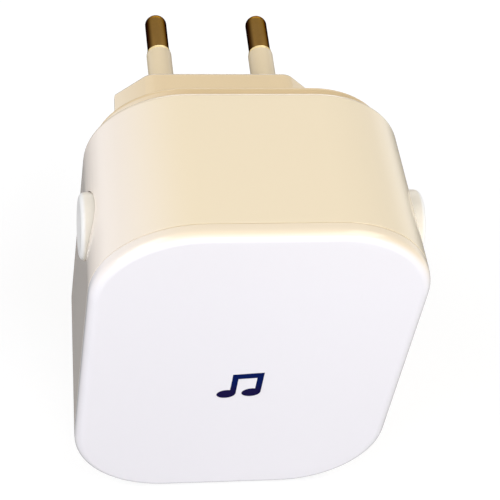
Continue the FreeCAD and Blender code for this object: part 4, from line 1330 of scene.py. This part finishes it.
insidePlastics = {      # name: colour, roughness, drift, grain scale, bump, nodes
    "whiteMoulding": ((0.80, 0.80, 0.80, 1), 0.5, 0.3, 1800.0, 0.15,
                      ["lamp_shroud", "speaker_clamp", "switch_plunger_left", "switch_plunger_right"]),
    "blackMoulding": ((0.012, 0.012, 0.014, 1), 0.45, 0.3, 1800.0, 0.15,
                      ["transformer_bobbin", "bridge_rectifier", "switch_body_left", "switch_body_right"]),
    "ferrite": ((0.03, 0.03, 0.034, 1), 0.6, 0.5, 900.0, 0.4, ["transformer_core"]),
    "windingTape": ((0.72, 0.50, 0.04, 1), 0.35, 0.4, 700.0, 0.1, ["transformer_winding"]),
    "capacitorSleeve": ((0.02, 0.03, 0.09, 1), 0.3, 0.3, 600.0, 0.05, ["bulk_capacitor"]),
    "smallCapacitorSleeve": ((0.03, 0.03, 0.035, 1), 0.3, 0.3, 600.0, 0.05, ["output_capacitor"]),
    "filmCapacitorBox": ((0.66, 0.42, 0.03, 1), 0.42, 0.3, 1200.0, 0.1, ["film_capacitor"]),
    "resistorPaint": ((0.09, 0.20, 0.15, 1), 0.5, 0.5, 1500.0, 0.4, ["fusible_resistor"]),
    "chipResin": ((0.018, 0.018, 0.02, 1), 0.55, 0.4, 2600.0, 0.3, ["melody_chip"]),
    "foamGasket": ((0.02, 0.02, 0.02, 1), 0.9, 0.5, 2200.0, 0.8, ["speaker_gasket"]),
    "formedFilm": ((0.26, 0.20, 0.12, 1), 0.28, 0.3, 500.0, 0.05, ["speaker_diaphragm"]),
    "surroundRubber": ((0.03, 0.03, 0.03, 1), 0.7, 0.3, 1500.0, 0.2, ["speaker_surround"]),
    "fibrePlate": ((0.16, 0.07, 0.025, 1), 0.6, 0.6, 1100.0, 0.3, ["speaker_terminal"]),
    "blueInsulation": ((0.01, 0.05, 0.32, 1), 0.35, 0.2, 800.0, 0.05, ["mains_lead_left"]),
    "brownInsulation": ((0.10, 0.03, 0.012, 1), 0.35, 0.2, 800.0, 0.05, ["mains_lead_right"]),
    "blackInsulation": ((0.01, 0.01, 0.01, 1), 0.35, 0.2, 800.0, 0.05, ["speaker_lead_left"]),
    "redInsulation": ((0.42, 0.012, 0.01, 1), 0.35, 0.2, 800.0, 0.05, ["speaker_lead_right"]),
}

insideMetals = {        # name: colour, tarnish, its amount, roughness, line scale, axis, bump, nodes
    "zincScrew": ((0.62, 0.63, 0.66, 1), (0.35, 0.34, 0.30, 1), 0.5, 0.32, 2600.0, (0, 1, 0), 0.2,
                  screws),
    "brightSteel": ((0.75, 0.75, 0.77, 1), (0.45, 0.44, 0.42, 1), 0.3, 0.22, 2200.0, (0, 0, 1), 0.12,
                    ["receiver_crystal", "speaker_yoke", "speaker_magnet", "speaker_pole_plate"]),
    "pressedSteel": ((0.28, 0.28, 0.30, 1), (0.15, 0.14, 0.13, 1), 0.5, 0.4, 1800.0, (0, 0, 1), 0.15,
                     ["speaker_frame"]),
    "enamelledCopper": ((0.60, 0.26, 0.12, 1), (0.32, 0.12, 0.05, 1), 0.5, 0.3, 3400.0, (0, 1, 0), 0.5,
                        ["antenna_coil", "voice_coil"]),
    "lugBrass": ((0.50, 0.30, 0.08, 1), (0.22, 0.12, 0.03, 1), 0.35, 0.24, 5200.0, (0, 1, 0), 0.12,
                 ["pin_lug_left", "pin_lug_right"]),
}

boardFinish = {
    "mask": (0.015, 0.085, 0.035, 1),
    "trace": (0.030, 0.140, 0.060, 1),
    "traceScale": 330.0,
    "traceWidth": 0.03,
}


def solderMask():
    # green lacquer with slightly raised copper runs under it
    material, tree, shader = newMaterial("boardSolderMask")
    turn = tree.nodes.new("ShaderNodeMapping")
    turn.inputs["Rotation"].default_value = (math.radians(90), 0, 0)
    tree.links.new(objectPlace(tree), turn.inputs["Vector"])
    cells = tree.nodes.new("ShaderNodeTexBrick")
    tree.links.new(turn.outputs["Vector"], cells.inputs["Vector"])
    cells.inputs["Scale"].default_value = boardFinish["traceScale"]
    cells.inputs["Mortar Size"].default_value = boardFinish["traceWidth"]
    cells.inputs["Color1"].default_value = boardFinish["mask"]
    cells.inputs["Color2"].default_value = boardFinish["mask"]
    cells.inputs["Mortar"].default_value = boardFinish["trace"]
    grain = useGroup(tree, mouldedGrain, Colour=cells.outputs["Color"], Tint=boardFinish["trace"],
                     Drift=0.3, Speckle=0.1, Roughness=0.3, Grain_Scale=1400.0)
    finishSurface(tree, shader, grain["Colour"], grain, strength=0.3, depth=0.04 * mm,
                  height=cells.outputs["Fac"])
    return material


def clearLamp():
    material, tree, shader = newMaterial("lampEpoxy")
    grain = useGroup(tree, mouldedGrain, Colour=(0.80, 0.88, 1.0, 1), Tint=(0.72, 0.82, 1.0, 1), Drift=0.3,
                     Speckle=0.0, Roughness=0.08, Grain_Scale=900.0)
    tree.links.new(grain["Colour"], shader.inputs["Base Color"])
    tree.links.new(grain["Roughness"], shader.inputs["Roughness"])
    shader.inputs["Transmission Weight"].default_value = 0.85
    shader.inputs["IOR"].default_value = 1.5
    return material


def giveTo(material, nodeNames):
    for nodeName in nodeNames:
        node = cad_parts[nodeName]
        node.data.materials.clear()
        node.data.materials.append(material)


def dressInside():
    for name, (*look, nodeNames) in insidePlastics.items():
        giveTo(plainPlastic(name, *look), nodeNames)
    for name, (*look, nodeNames) in insideMetals.items():
        giveTo(plainMetal(name, *look), nodeNames)
    giveTo(solderMask(), ["main_board", "receiver_board"])
    giveTo(clearLamp(), ["indicator_lamp"])


dressInside()
print("inside dressed")

placeCamera()
lightStudio()
deselectAll()

print("scene ready")
